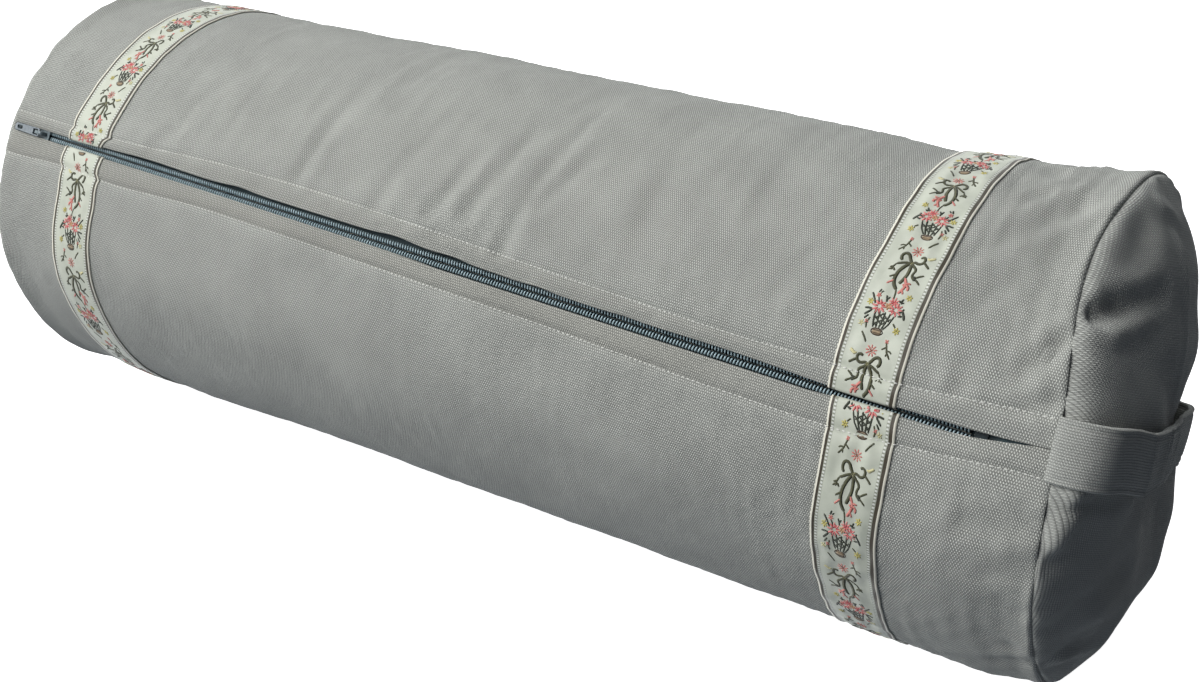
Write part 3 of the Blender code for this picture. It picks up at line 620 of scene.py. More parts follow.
def canvas_material(name, light, dark, contrast):
    """Plain-weave cotton canvas with uneven yarns, slubs and soft mottling, darkened with the yarns' depth
    as painted shade in the hollows of the weave.
    """
    shader = Shader(name)
    uv = shader.weave_uv()
    over = plain_weave(shader, (0.000505, 0.001075))
    raised = shader.maths("POWER", shader.maths("ABSOLUTE", over), 0.45)
    level = shader.plus(shader.maths("GREATER_THAN", over, 0.0), contrast, 1 - contrast)
    height = shader.maths("MULTIPLY", raised, level)
    tone = shader.maths("ADD", height, shader.patches(1500.0, 1.0, uv, -0.08, 0.08))
    tone = shader.maths("ADD", tone, shader.patches(30.0, 5.0, uv, -0.05, 0.05), clamp=True)
    # Painted shade: the colour darkens in the weave's hollows and on the lower yarns; the strip attribute
    # tints the strips beside the zip darker and browner.
    colour = shader.mix(shader.tint_and_painted_shade(), shader.mix(tone, dark, light), (0.89, 0.875, 0.855), "MULTIPLY")
    surface = shader.plus(shader.noise(5200.0, 2.0, uv), 0.25, height)
    surface = shader.plus(shader.noise(130.0, 2.0, uv), 1.0, surface)
    return shader.set(
        Base_Color=colour, Roughness=0.88, Sheen_Weight=0.12, Sheen_Roughness=0.5,
        Specular_IOR_Level=0.25, Normal=shader.bump(surface, 0.00045),
    )


def ribbon_material(half_width):
    """Satin ground between cream edges, brown stripes and rows of white pearls, with painted shadow between
    the pearls.
    """
    shader = Shader("ribbon weave")
    uv = shader.weave_uv()
    from_middle, run, _ = shader.split(uv)
    across = shader.maths("ABSOLUTE", from_middle)
    right = shader.maths("GREATER_THAN", from_middle, 0.0)
    edge = shader.plus(right, -0.00025, half_width - 0.00075)
    stripe_end = shader.less(edge, shader.plus(right, 0.00040, 0.00110))
    soft = 0.00007
    in_edge = shader.ramp(shader.less(across, edge), -soft, soft)
    in_stripe = shader.ramp(shader.less(across, stripe_end), -soft, soft)
    from_pearl = shader.maths("ABSOLUTE", shader.less(across, shader.less(stripe_end, 0.00072)))
    dash = shader.ramp(shader.sine(run, 0.00145), -0.30, 0.15)
    in_pearl = shader.maths("MULTIPLY", shader.ramp(from_pearl, 0.00056, 0.00042), dash)
    ribs = shader.sine(run, 0.00034)
    colour = shader.mix(shader.patches(180.0, 3.0, uv), (0.400, 0.420, 0.345), (0.455, 0.470, 0.395))
    layers = (
        (shader.ramp(ribs, -1, 1, 0.0, 0.2), (0.34, 0.365, 0.30)),
        # Painted shadow: a dark band between the pearls and round their row.
        (shader.ramp(from_pearl, 0.00066, 0.00058), (0.23, 0.24, 0.19)),
        (in_pearl, (0.57, 0.58, 0.53)),
        (in_stripe, (0.036, 0.028, 0.015)),
        (in_edge, (0.58, 0.56, 0.47)),
    )
    for share, tint in layers:
        colour = shader.mix(share, colour, tint)
    height = shader.plus(in_pearl, 1.6, shader.maths("MULTIPLY", ribs, 0.16))
    height = shader.plus(shader.sine(from_middle, 0.00042), 0.10, height)
    height = shader.plus(in_edge, 0.7, height)
    return shader.set(
        Base_Color=colour, Roughness=0.48, Sheen_Weight=0.10, Specular_IOR_Level=0.35,
        Normal=shader.bump(height, 0.00010, 0.7),
    )


def thread_material(name, colour, roughness=0.6):
    """Spun thread with fine twisted plies."""
    shader = Shader(name)
    x, _, z = shader.split(shader.place())
    plies = shader.sine(shader.maths("ADD", x, shader.maths("MULTIPLY", z, 0.6)), 0.00042)
    share = shader.plus(plies, 0.20, shader.patches(420.0, 2.0, None, 0.15, 0.85), clamp=True)
    return shader.set(
        Base_Color=shader.mix(share, tuple(c * 0.72 for c in colour), colour), Roughness=roughness,
        Sheen_Weight=0.15, Specular_IOR_Level=0.3, Normal=shader.bump(plies, 0.00005, 0.6),
    )


def tape_material():
    """Herringbone zip tape in dark petrol, painted darker still as the shade under the lips and between the
    coil's turns.
    """
    shader = Shader("zip tape")
    along, across, _ = shader.split(shader.weave_uv())
    rib = shader.sine(shader.maths("ADD", along, shader.maths("PINGPONG", across, 0.0012)), 0.0006)
    # Both tones are darker than the dyed tape: painted shade.
    return shader.set(
        Base_Color=shader.mix(shader.ramp(rib, -1, 1), (0.014, 0.026, 0.030), (0.050, 0.078, 0.086)),
        Roughness=0.75, Sheen_Weight=0.1, Specular_IOR_Level=0.3, Normal=shader.bump(rib, 0.00008, 0.8),
    )


def nylon_material():
    """Dyed nylon monofilament: satin and a little uneven, with painted shade on the undersides of its turns
    and between the two rows.
    """
    shader = Shader("zip nylon")
    tint = shader.noise(240.0, 2.0)
    colour = shader.mix(shader.ramp(tint, 0.3, 0.7), (0.290, 0.400, 0.435), (0.400, 0.520, 0.555))
    # The strip attribute paints shade: near-black on the lower half of each turn and by the middle line.
    return shader.set(
        Base_Color=shader.mix(shader.tint_and_painted_shade(), (0.008, 0.018, 0.022), colour), Specular_IOR_Level=0.5,
        Roughness=shader.ramp(tint, 0.3, 0.7, 0.34, 0.46),
        Normal=shader.bump(shader.noise(2600.0, 2.0), 0.00003, 0.4),
    )


def enamel_material(name, low, high, metallic, specular=0.5):
    """Painted die-cast metal with a worn satin coat."""
    shader = Shader(name)
    wear = shader.noise(520.0, 4.0)
    return shader.set(
        Base_Color=shader.mix(shader.ramp(wear, 0.38, 0.66), low, high), Metallic=metallic,
        Roughness=shader.ramp(wear, 0.3, 0.7, 0.26, 0.44), Specular_IOR_Level=specular,
        Normal=shader.bump(shader.noise(1900.0, 3.0), 0.00003, 0.35),
    )


def calico_material():
    shader = Shader("calico")
    over = plain_weave(shader, (0.0006, 0.0006))
    fleck = shader.patches(900.0, 3.0, shader.weave_uv(), 0.2, 0.8)
    colour = shader.mix(shader.plus(over, 0.3, fleck, clamp=True), (0.56, 0.50, 0.38), (0.74, 0.70, 0.60))
    return shader.set(Base_Color=colour, Roughness=0.9, Normal=shader.bump(over, 0.00010, 0.7))


def stuffing_material():
    shader = Shader("stuffing")
    curls = shader.noise(160.0, 6.0)
    colour = shader.mix(shader.ramp(curls, 0.3, 0.7), (0.60, 0.56, 0.48), (0.84, 0.82, 0.77))
    return shader.set(Base_Color=colour, Roughness=1.0, Normal=shader.bump(curls, 0.004, 0.8))


def floor_material():
    shader = Shader("pale floor")
    colour = shader.mix(shader.patches(2.0, 2.0), (0.86, 0.86, 0.86), (0.88, 0.88, 0.88))
    return shader.set(
        Base_Color=colour, Roughness=0.9, Specular_IOR_Level=0.2,
        Emission_Color=(1.0, 1.0, 1.0), Emission_Strength=0.95,
    )


def tube_columns():
    """Places along the tube, close together beside the end seams."""
    near = np.array([0, 0.05, 0.15, 0.3, 0.5, 0.8, 1.2, 1.6, 2.1, 2.8, 3.6, 4.6, 5.8, 7.2, 8.8, 10.5]) * MM
    low = -HALF_LENGTH + near[-1]
    middle = np.linspace(low, -low, 262)[1:-1]
    return np.concatenate([near - HALF_LENGTH, middle, (HALF_LENGTH - near)[::-1]])


def cover_arcs(x, side):
    """Places round the tube for the rows of mesh beside one fold, with those round and under it first."""
    round_fold = -math.pi * FOLD_RADIUS
    under = round_fold - HEM * np.array([1, 0.66, 0.33])
    turning = round_fold * np.arange(6, 0, -1) / 6
    wide = (0.0144, 0.0156, 0.0172, 0.0193, 0.0220, 0.0255)
    distance = np.concatenate([under, turning, 0.0009 * np.arange(16), wide])
    plain_start, plain_from = 0.0038, 0.028
    crown = side * fold_edge(x, side) + FOLD_RADIUS
    settle = eased(distance / plain_from)
    away = (crown + distance) * (1 - settle) + (plain_start + distance) * settle
    return away if side > 0 else 2 * HALF_ROUND - away[:, ::-1]


def make_cover_tube(canvas):
    """The canvas round the body, outside and inside, with darker strips beside the zip."""
    x = tube_columns()[:, None]
    beside, inner_end = 0.0325, 0.020
    middle = np.linspace(beside, 2 * HALF_ROUND - beside, 196) + 0 * x
    outer = np.concatenate([cover_arcs(x, 1), middle, cover_arcs(x, -1)], 1)
    inner = np.linspace(2 * HALF_ROUND - inner_end, inner_end, 56) + 0 * x
    rings = np.concatenate([cover_point(x, outer, 0.0), cover_point(x, inner, -CANVAS)], 1)
    arcs = np.concatenate([outer, inner], 1)
    side = side_of(arcs)
    past_stitch = side * (signed_arc(arcs) - stitch_line(x, side))
    tint_and_painted_shade = 1 - eased((past_stitch + 0.0006) / 0.0012)
    tint_and_painted_shade = tint_and_painted_shade * (1 - 0.8 * eased((x - 0.10) / 0.14)) * np.where(side > 0, 0.45, 1.0)
    return add_tubes("canvas_tube", [rings], canvas, points(x, arcs), tint_and_painted_shade)


def panel_reach(side, t, angle):
    """How far an end panel stands out past its seam, a distance t in from the rim."""
    share = 1 - t / BODY_RADIUS
    dome = DOME_RISE * (1 - share ** DOME_FULLNESS)
    shoulder = over_angle(angle, RIGHT_SHOULDER if side > 0 else LEFT_SHOULDER)
    dome = dome + shoulder * (1 - np.exp(-t / 0.0022)) * np.exp(-t / 0.034)
    return dome - end_slack(side, share, angle) * eased(t / 0.010)


def end_slack(side, share, angle):
    """How far an end sinks where the stuffing leaves it slack, which only the right one is."""
    total = 0 * angle
    for front, up, wide, tall, depth in END_SLACK if side > 0 else ():
        level = hump(share * BODY_RADIUS * np.cos(angle), front, wide)
        total = total + depth * MM * level * hump(share * BODY_RADIUS * np.sin(angle), up, tall)
    return total


def radial(places):
    """Folds on an end panel given by the angle up from level and share of the radius of both ends."""
    radius = BODY_RADIUS / MM
    made = []
    for start, start_share, end, end_share, *size in places:
        spots = []
        for turn, share in ((start, start_share), (end, end_share)):
            turn = math.radians(turn)
            spots += [radius * share * math.cos(turn), radius * share * math.sin(turn)]
        made.append((*spots, *size))
    return tuple(made)


RIGHT_PANEL_FOLDS = (
    (95, 42, 107, 14, -2.6, 5), (100, 36, 103, 30, -2, 2.2), (18, 81, 64, 87, 3.6, 4),
    (32, 78, 62, 80, -1.4, 4), (32, 96, 12, 103, 1.8, 5.5), (-22, 92, -7, 103, -1.4, 3),
    (10, 36, -8, 88, -0.9, 3.5), (70, 40, 98, 36, 0.8, 4), (70, 16, 104, 30, 1, 3.4),
    (50, -74, 84, -60, -1.6, 3), (40, -60, 78, -50, 0.8, 6), (30, -20, 86, -26, 0.7, 8),
) + radial((
    (100, 0.7, 104, 0.96, 0.9, 6), (128, 0.72, 131, 0.97, 1.2, 5), (168, 0.74, 165, 0.96, 0.8, 6),
    (206, 0.72, 203, 0.97, 1.2, 5), (-108, 0.76, -104, 0.97, 0.8, 5),
))
LEFT_PANEL_FOLDS = radial((
    (20, 0.76, 24, 0.97, 0.9, 5), (58, 0.72, 55, 0.97, 1, 6), (95, 0.74, 98, 0.97, 0.8, 5),
    (142, 0.72, 146, 0.97, 1, 6), (-30, 0.74, -26, 0.97, 0.8, 5), (-66, 0.7, -72, 0.97, 1.1, 6),
    (196, 0.76, 192, 0.97, 0.8, 5),
))


def panel_rim(side, angle, t):
    """Y and Z of an end panel's points before its folds."""
    radius = BODY_RADIUS - SEAM_ROLL * (seam_softness(angle) if side > 0 else 1)
    radius = radius + form(side * HALF_LENGTH, angle)
    z = np.maximum(radius * np.sin(angle), -AXIS_HEIGHT + SEAM_ROLL * 0.6)
    swell = 0.0012 * (t / 0.0018) * np.exp(1 - t / 0.0018)
    share = 1 - t / BODY_RADIUS + swell / BODY_RADIUS
    return -radius * np.cos(angle) * share, z * share


def make_panel(name, side, canvas, fold_list, seed):
    """A domed end panel with its folds, whose rim turns in under the seam."""
    seam = side * HALF_LENGTH
    angle = np.linspace(0, math.tau, 300, endpoint=False)
    near = np.array([0, 0.25, 0.5, 0.8, 1.15, 1.6, 2.2, 3.0, 4.0, 5.2, 6.6, 8.2, 10, 12]) * MM
    t = np.concatenate([near, np.linspace(0.0145, 0.1085, 34)])[:, None]
    y, z = panel_rim(side, angle, t)
    share = 1 - t / BODY_RADIUS
    stray = over_angle(angle, SEAM_STRAY) if side > 0 else 0 * angle
    reach = seam + side * panel_reach(side, t, angle) + MIDDLE + stray * share ** 2
    grid = np.stack([reach, y, z + AXIS_HEIGHT], -1)
    front = share * BODY_RADIUS * np.cos(angle)
    up = share * BODY_RADIUS * np.sin(angle)
    height = folds(front, up, fold_list)
    height += gathers(angle * BODY_RADIUS, t, 2 * HALF_ROUND, seed, PANEL_GATHER_DEPTH)
    height += 0.0006 * waves(front, up, seed + 5, 0.060, 0.060) * eased(t / 0.02)
    height *= eased(t / 0.0025)
    ahead = np.roll(grid, -1, axis=1) - np.roll(grid, 1, axis=1)
    normal = unit(np.cross(np.gradient(grid, axis=0), ahead))
    outward = normal * np.sign(normal[..., :1] * side + 1e-9)
    outside = grid + outward * height[..., None]
    inside = outside - outward * CANVAS
    tuck = np.array([0.0006, 0.004, 0.008])[:, None]
    inset, lifted = 0.0036, 0.0034

    def flange(depth):
        radius = BODY_RADIUS - inset + form(seam, angle) - depth
        ring_z = np.maximum(radius * np.sin(angle), -AXIS_HEIGHT + lifted + depth)
        return points(seam - side * tuck + MIDDLE + stray, -radius * np.cos(angle), ring_z + AXIS_HEIGHT)

    rings = np.concatenate([outside[::-1], flange(0.0), flange(CANVAS)[::-1], inside[3:]])
    flat = points(up, front)
    uv = np.concatenate([flat[::-1], np.repeat(flat[:1], 6, axis=0), flat[3:]])
    return add_tubes(name, [rings], canvas, uv, np.zeros(uv.shape[:2]))


def run_along(path):
    """The distance along a path to each of its points."""
    return np.concatenate([[0], np.cumsum(np.linalg.norm(np.diff(path, axis=0), axis=-1))])


def respaced(path, count, rounds):
    """Distances and places of evenly spaced points along a path, its corners rounded off."""
    run = run_along(path)
    where = np.linspace(0, run[-1], count)
    path = np.stack([np.interp(where, run, values) for values in path.T], -1)
    for _ in range(rounds):
        path[1:-1] = path[1:-1] * 0.5 + (path[:-2] + path[2:]) * 0.25
    return where, path


HANDLE_SLACK = 0.0024          # how far the strap bows off its panel
HANDLE_STANDS = 0.0022         # how far it stands off the panel just past its front seam
HANDLE_RAISED = 0.0040         # how far its line lies above the middle of the panel
HANDLE_CORNER = 0.0011         # radius of its edges
HANDLE_PUFF = 0.0004           # how far its middle swells
HANDLE_GROOVE = 0.00035        # depth of its edge stitching
HANDLE_CREASES = ((52, -12, 50, 12, -0.5, 1.4), (74, -12, 73, 12, 0.8, 1.8), (98, -12, 100, 12, 0.6, 2.0))


def handle_route(turn):
    """The middle of the strap from seam to seam: distances from one end, places as height along its
    line and reach past the seam, and outward directions."""
    near = np.array([0, 0.3, 0.6, 1.0, 1.5, 2.1, 2.8, 3.6, 4.6, 5.8, 7.2, 9.0]) * MM
    t = np.concatenate([near, np.linspace(0.011, BODY_RADIUS, 60)])
    share = 1 - t / BODY_RADIUS
    halves = []
    for way, angle in ((1, turn), (-1, turn + math.pi)):
        reach = panel_reach(1, t, angle) + over_angle(angle, SEAM_STRAY) * share ** 2
        halves.append(np.stack([way * share * BODY_RADIUS, reach], -1))
    run, path = respaced(np.concatenate([halves[0], halves[1][-2::-1]]), 220, 14)
    ahead = unit(np.gradient(path, axis=0))
    out = np.stack([ahead[:, 1], -ahead[:, 0]], -1)
    from_end = np.minimum(run, run[-1] - run)
    bow = HANDLE_SLACK * np.sin(math.pi * (run / run[-1]) ** 2) ** 2 + HANDLE_STANDS * hump(run, 15, 16)
    lift = (HANDLE_THICKNESS / 2 + 2 * LAYER_GAP) * (0.2 + 0.8 * eased(from_end / 0.010)) + bow
    path = path + out * lift[:, None]
    into_seam = np.exp(-from_end / 0.0010)
    path -= np.stack([np.sign(path[:, 0]) * 0.0016 * into_seam, 0.0034 * into_seam], -1)
    return run, path, out


def make_handle(canvas):
    """A folded strap, edge-stitched, with its ends in the seam in line with the zip."""
    turn = zip_angle(HALF_LENGTH)
    run, path, out = handle_route(turn)
    laid, run, q, reach, out_q, out_x = (a[:, None] for a in (run_along(path), run, *path.T, *out.T))
    half, thick, corner = HANDLE_WIDTH / 2, HANDLE_THICKNESS / 2, HANDLE_CORNER
    top = np.linspace(-half + corner, half - corner, 34)
    quarter = np.linspace(0, math.pi / 2, 5)[1:-1]
    sine, cosine = corner * np.sin(quarter), corner * np.cos(quarter)
    across = np.concatenate([top, half - corner + sine, (half, half), half - corner + cosine])
    height = np.concatenate([
        0 * top + thick, thick - corner + cosine, (thick - corner, corner - thick), corner - thick - sine,
    ])
    across = np.concatenate([across, -across])
    height = np.concatenate([height, -height])
    from_end = np.minimum(run, run[-1] - run)
    ease = eased(from_end / 0.012)
    puff = HANDLE_PUFF * (1 - (across / half) ** 2)
    puff = puff - HANDLE_GROOVE * bump_at((np.abs(across) - half + 0.0024) / 0.0009)
    height = height + np.sign(height) * (puff + 0.0002 * ease * waves(run, across, 21, 0.030, 0.05))
    height = height + folds(run, across, HANDLE_CREASES) * (height > 0)
    sway = HANDLE_RAISED + 0.0006 * waves(run, 0 * across, 22, 0.09, 1.0) * ease
    rounding = across ** 2 / (2 * BODY_RADIUS) * np.exp(-from_end / 0.012)
    up_line = (0, -math.cos(turn), math.sin(turn))
    over_line = (0, math.sin(turn), math.cos(turn))
    rings = points(q + out_q * height - np.sign(q) * rounding, reach + out_x * height, across + sway)
    rings = rings @ np.array((up_line, (1, 0, 0), over_line))
    rings += (HALF_LENGTH + LAYER_GAP + MIDDLE, 0, AXIS_HEIGHT)
    uv = points(laid, across)
    return add_tubes("carry_strap", [rings], canvas, uv, np.zeros(uv.shape[:2]))


ZIP_FRAME = np.array((ZIP_ALONG, ZIP_ACROSS, ZIP_OUT))


def zip_points(*places):
    """World points from places along and across the zip and their heights."""
    return points(*places) @ ZIP_FRAME + np.array(ZIP_ORIGIN)


def tube_rings(path, reference, radius, sides):
    """Rings of a thin round rod along a path, from a direction that the path stays clear of."""
    run = unit(np.gradient(path, axis=0))
    side = unit(reference - (run @ reference)[:, None] * run)
    turn = np.linspace(0, math.tau, sides, endpoint=False)[:, None]
    around = side[:, None] * np.cos(turn) + np.cross(run, side)[:, None] * np.sin(turn)
    return path[:, None] + radius * around


TAPE_DEPTH = 0.0021            # of a tape beside the coil, under the tube's surface
COIL_PITCH = 0.00151
FILAMENT = 0.00040             # radius of the coil's nylon
COIL_HEAD = 0.00012            # from the zip line to the heads of a row
COIL_BACK = 0.0024             # from there to the back of the row
COIL_SEAMS = (0.00195, 0.00235)
COIL_THREAD = 0.00010          # radius of the thread in them


def make_coil(name, side, nylon):
    """One row of the coil: a flattened helix whose heads face the other row."""
    turns = round((COIL_END - COIL_START) / COIL_PITCH) - 1
    theta = np.linspace(0, math.tau * turns, turns * 12)
    back = COIL_MIDDLE_GAP / 2 + COIL_BACK
    half = (back - COIL_HEAD) / 2 - FILAMENT
    shift = COIL_PITCH * (0.25 if side > 0 else 0.75)
    swing = theta - 0.35 * np.sin(2 * theta)
    u = COIL_START + shift + COIL_PITCH * theta / math.tau
    v = side * ((COIL_HEAD + back) / 2 + half * np.cos(swing))
    w = COIL_TOP - COIL_HEIGHT / 2 + (COIL_HEIGHT / 2 - FILAMENT) * np.sin(theta)
    rings = tube_rings(zip_points(u, v, w), ZIP_FRAME[0], FILAMENT, 6)
    local = (rings - np.array(ZIP_ORIGIN)) @ ZIP_FRAME.T
    # Painted shade: the lower part of each turn and the heads by the middle line are darkened as if in
    # shadow.
    tint_and_painted_shade = np.clip((local[..., 2] - COIL_TOP + 0.0009) / 0.0006, 0, 1)
    tint_and_painted_shade = tint_and_painted_shade * np.clip((np.abs(local[..., 1]) - 0.0002) / 0.0006, 0.15, 1)
    return add_tubes(name, [rings], nylon, np.zeros((*tint_and_painted_shade.shape, 2)), tint_and_painted_shade)


def make_coil_thread(name, side, thread):
    """The two rows of chain stitch that hold a coil to its tape."""
    u = np.linspace(COIL_START, COIL_END, 1100)
    dip = 1 - np.abs(np.sin(math.pi * (u - COIL_START) / COIL_PITCH))
    rows = [zip_points(u, side * place, COIL_TOP - 0.00016 - 0.00030 * dip) for place in COIL_SEAMS]
    return add_tubes(name, [tube_rings(row, ZIP_FRAME[2], COIL_THREAD, 5) for row in rows], thread)


def make_tape(name, side, cloth):
    """One zip tape: flat under the coil, then up under the canvas beside it and past its ends."""
    end = HALF_LENGTH - 0.0005
    spans = ((-end, COIL_START, 16), (COIL_START, COIL_END, 90), (COIL_END, end, 20))
    u = np.unique(np.concatenate([np.linspace(*span) for span in spans]))[:, None]
    flat = np.array([0.10, 1.4, 2.4, 3.4, 4.4, 5.0, 5.8, 6.8, 7.8, 8.8, 9.8, 10.6, 12, 13.5, 15.5]) * MM
    v = np.concatenate([flat, flat[::-1]])
    down = np.repeat([0, TAPE_THICKNESS], len(flat))
    past_left = eased((COIL_START - 0.0039 - u) / 0.006)
    past_right = eased((u - COIL_END - 0.0059) / 0.006)
    share = np.maximum(eased((v - 0.0050) / 0.0055), np.maximum(past_left, past_right))[..., None]
    x = u * math.cos(math.atan(ZIP_SLOPE))
    angle = zip_angle(x) + side * v / BODY_RADIUS
    radius = BODY_RADIUS - TAPE_DEPTH - down
    low = zip_points(u, side * v, TAPE_TOP - down)
    high = points(x + MIDDLE, -radius * np.cos(angle), radius * np.sin(angle) + AXIS_HEIGHT)
    return add_tubes(name, [low * (1 - share) + high * share], cloth, points(u, v))


def extruded(name, outline, low, high, finish, bevel):
    """A plate of an outline in U and V, from one height to another, with rounded rims."""
    curve = bpy.data.curves.new(name, "CURVE")
    curve.dimensions = "2D"
    curve.fill_mode = "BOTH"
    curve.extrude = (high - low) / 2 - bevel
    curve.bevel_depth = bevel
    curve.bevel_resolution = 3
    curve.offset = -bevel
    for loop in outline:
        spline = curve.splines.new("POLY")
        spline.points.add(len(loop) - 1)
        for point, (u, v) in zip(spline.points, loop):
            point.co = (u, v, 0, 1)
        spline.use_cyclic_u = True
    curve.materials.append(finish)
    made = link(name, curve)
    matrix = Matrix((ZIP_ALONG, ZIP_ACROSS, ZIP_OUT)).transposed().to_4x4()
    matrix.translation = ZIP_ORIGIN + ZIP_ALONG * SLIDER_CLOSED + ZIP_OUT * ((low + high) / 2)
    made.matrix_world = matrix
    return made


def rounded(start, end, half_start, half_end, corner):
    """A tapered bar's outline with round corners, as a list of points."""
    corners = (
        (end - corner, half_end - corner), (start + corner, half_start - corner),
        (start + corner, -half_start + corner), (end - corner, -half_end + corner),
    )
    outline = []
    for quarter, (u, v) in enumerate(corners):
        for turn in (quarter + np.arange(7) / 6) * math.pi / 2:
            outline.append((u + corner * math.cos(turn), v + corner * math.sin(turn)))
    return outline


def squarish(value, power):
    """A sine or cosine that bends a circle towards a square."""
    return np.sign(value) * np.abs(value) ** power


def make_slider(metal):
    """The slider's two plates on their divider, with side lips and the arched bail."""
    half = SLIDER_LENGTH / 2
    plate = rounded(-half, half, 0.0041, 0.0038, 0.0016)
    blade = rounded(-half + 0.0004, -half + 0.0024, 0.00008, 0.00008, 0.00006)
    inside = PLATE_TOP - SLIDER_PLATE
    back_top = TAPE_UNDER - LAYER_GAP
    pieces = [
        ("top_plate", plate, inside, PLATE_TOP, 0.00030),
        ("back_plate", plate, back_top - SLIDER_PLATE, back_top, 0.00022),
        ("divider", blade, back_top - 0.0002, inside + 0.0002, 0.00004),
    ]
    left, right = -half + 0.0012, half - 0.0008
    for name, side in SIDES:
        rail = [(left, side * 0.0040), (right, side * 0.0037), (right, side * 0.0033), (left, side * 0.0033)]
        pieces.append(("rail_" + name, rail[::side], TAPE_TOP + LAYER_GAP, PLATE_TOP - 0.0003, 0.00012))
    parts = [
        extruded("slider_" + name, [outline], low, high, metal, bevel)
        for name, outline, low, high, bevel in pieces
    ]
    length, wire_wide, wire_thin, clearance = 0.0066, 0.00095, 0.0005, 0.0015
    reach = length / 2 - wire_thin
    rise = HINGE_HEIGHT + clearance - PLATE_TOP
    arch = np.linspace(0, math.pi, 25)
    u = SLIDER_CLOSED - reach * squarish(np.cos(arch), 0.55)
    path = zip_points(u, 0, PLATE_TOP - wire_thin + rise * np.abs(np.sin(arch)) ** 0.55)
    wide = ZIP_FRAME[1]
    thin = np.cross(unit(np.gradient(path, axis=0)), wide)[:, None]
    turn = np.linspace(0, math.tau, 16, endpoint=False)[:, None]
    around = wire_wide * squarish(np.cos(turn), 0.5) * wide + wire_thin * squarish(np.sin(turn), 0.5) * thin
    return [*parts, add_tubes("slider_bail", [path[:, None] + around], metal)]


def make_pull(metal):
    """The flat pull, with an eye round the bail and a slot near its tip."""
    outline = [
        rounded(-0.0185, 0.0005, 0.0019, 0.0023, 0.0012),
        rounded(-0.0044, -0.0005, 0.0015, 0.0015, 0.0003)[::-1],
        rounded(-0.0168, -0.0128, 0.0010, 0.0010, 0.0009)[::-1],
    ]
    half = 0.0005
    return extruded("pull_tab", outline, HINGE_HEIGHT - half, HINGE_HEIGHT + half, metal, 0.00022)


SIDES = (("upper", 1), ("lower", -1))
THREAD = 0.00030               # radius of the sewing thread
STITCH_LENGTH = (0.0016, 0.0020)
STITCH_GAP = (0.0004, 0.0007)
STITCH_SWAY = 0.00018          # how far a stitch turns off its row
STITCH_SUNK = 0.00034          # how deep its ends lie in the cloth
STITCH_RISE = 0.00046          # from there to its middle
RIBBON_UNDER = 0.00015         # heights of a ribbon's faces over the canvas
RIBBON_TOP = 0.00075
FLOAT_STEP = 0.0007            # between the points of a float of weft


def over_ribbon(x):
    """How far a stitch stands up where it crosses a ribbon."""
    return sum(
        RIBBON_TOP * eased((x - start + 0.001) / 0.001) * eased((end + 0.001 - x) / 0.001)
        for start, end in (LEFT_RIBBON, RIGHT_RIBBON)
    )


def make_topstitch(name, side, thread, pattern):
    """A row of lockstitches beside the zip, each a short length of thread let into the cloth."""
    draw = np.random.default_rng(pattern)
    stitches = []
    place = -HALF_LENGTH + 0.002
    while place < HALF_LENGTH - 0.0045:
        length = draw.uniform(*STITCH_LENGTH)
        stitches.append((place, length))
        place += length + draw.uniform(*STITCH_GAP)
    start, length = np.array(stitches).T[..., None]
    t = np.linspace(0, 1, 7)
    x = start + length * t
    sway = STITCH_SWAY * np.array([draw.uniform(-1, 1) for _ in stitches])[:, None]
    arc = stitch_line(x, side) + sway * (t - 0.5) * 2 + (0 if side > 0 else 2 * HALF_ROUND)
    sunk = STITCH_RISE * np.sin(math.pi * t) ** 0.6 - STITCH_SUNK
    paths = cover_point(x, arc, sunk + over_ribbon(x))
    out = np.mean(paths, axis=1) * (0, 1, 1) - (0, 0, AXIS_HEIGHT)
    radius = THREAD * np.sqrt(1 - (2 * t - 1) ** 2 * 0.86)[:, None, None]
    parts = [tube_rings(path, away, radius, 7) for path, away in zip(paths, unit(out))]
    return add_tubes(name, parts, thread)


def ribbon_arcs(x):
    """Places round the body for a ribbon's rows, from one fold to the other."""
    wrap = 0.0017
    upper = fold_edge(x, 1) + FOLD_RADIUS - wrap
    lower = 2 * HALF_ROUND + fold_edge(x, -1) - FOLD_RADIUS + wrap
    near = np.array([0.0, 0.3, 0.6, 0.9, 1.2, 1.5, 1.8, 2.2, 2.6, 3.2, 4.0, 5.0]) * MM / 0.68
    share = np.concatenate([near, np.linspace(0, 1, 420)[4:-4], 1 - near[::-1]])
    return upper + (lower - upper) * share[:, None]


def make_ribbon(name, span, weave):
    """A ribbon's ground, with a fine raised line inside each edge."""
    half = (span[1] - span[0]) / 2
    middle = (span[0] + span[1]) / 2
    across = np.concatenate([np.linspace(-half, half, 33), np.linspace(half, -half, 9)])
    height = np.repeat([RIBBON_TOP, RIBBON_UNDER], [33, 9])
    from_edge = half - np.abs(across)
    raised = np.clip((0.0007 - from_edge) / 0.0001, 0, 1) * np.clip(from_edge / 0.0002, 0, 1)
    height = height + 0.00005 * raised * (height > RIBBON_UNDER)
    arcs = ribbon_arcs(middle + across)
    return add_tubes(name, [cover_point(middle + across, arcs, height)], weave, points(across, arcs))


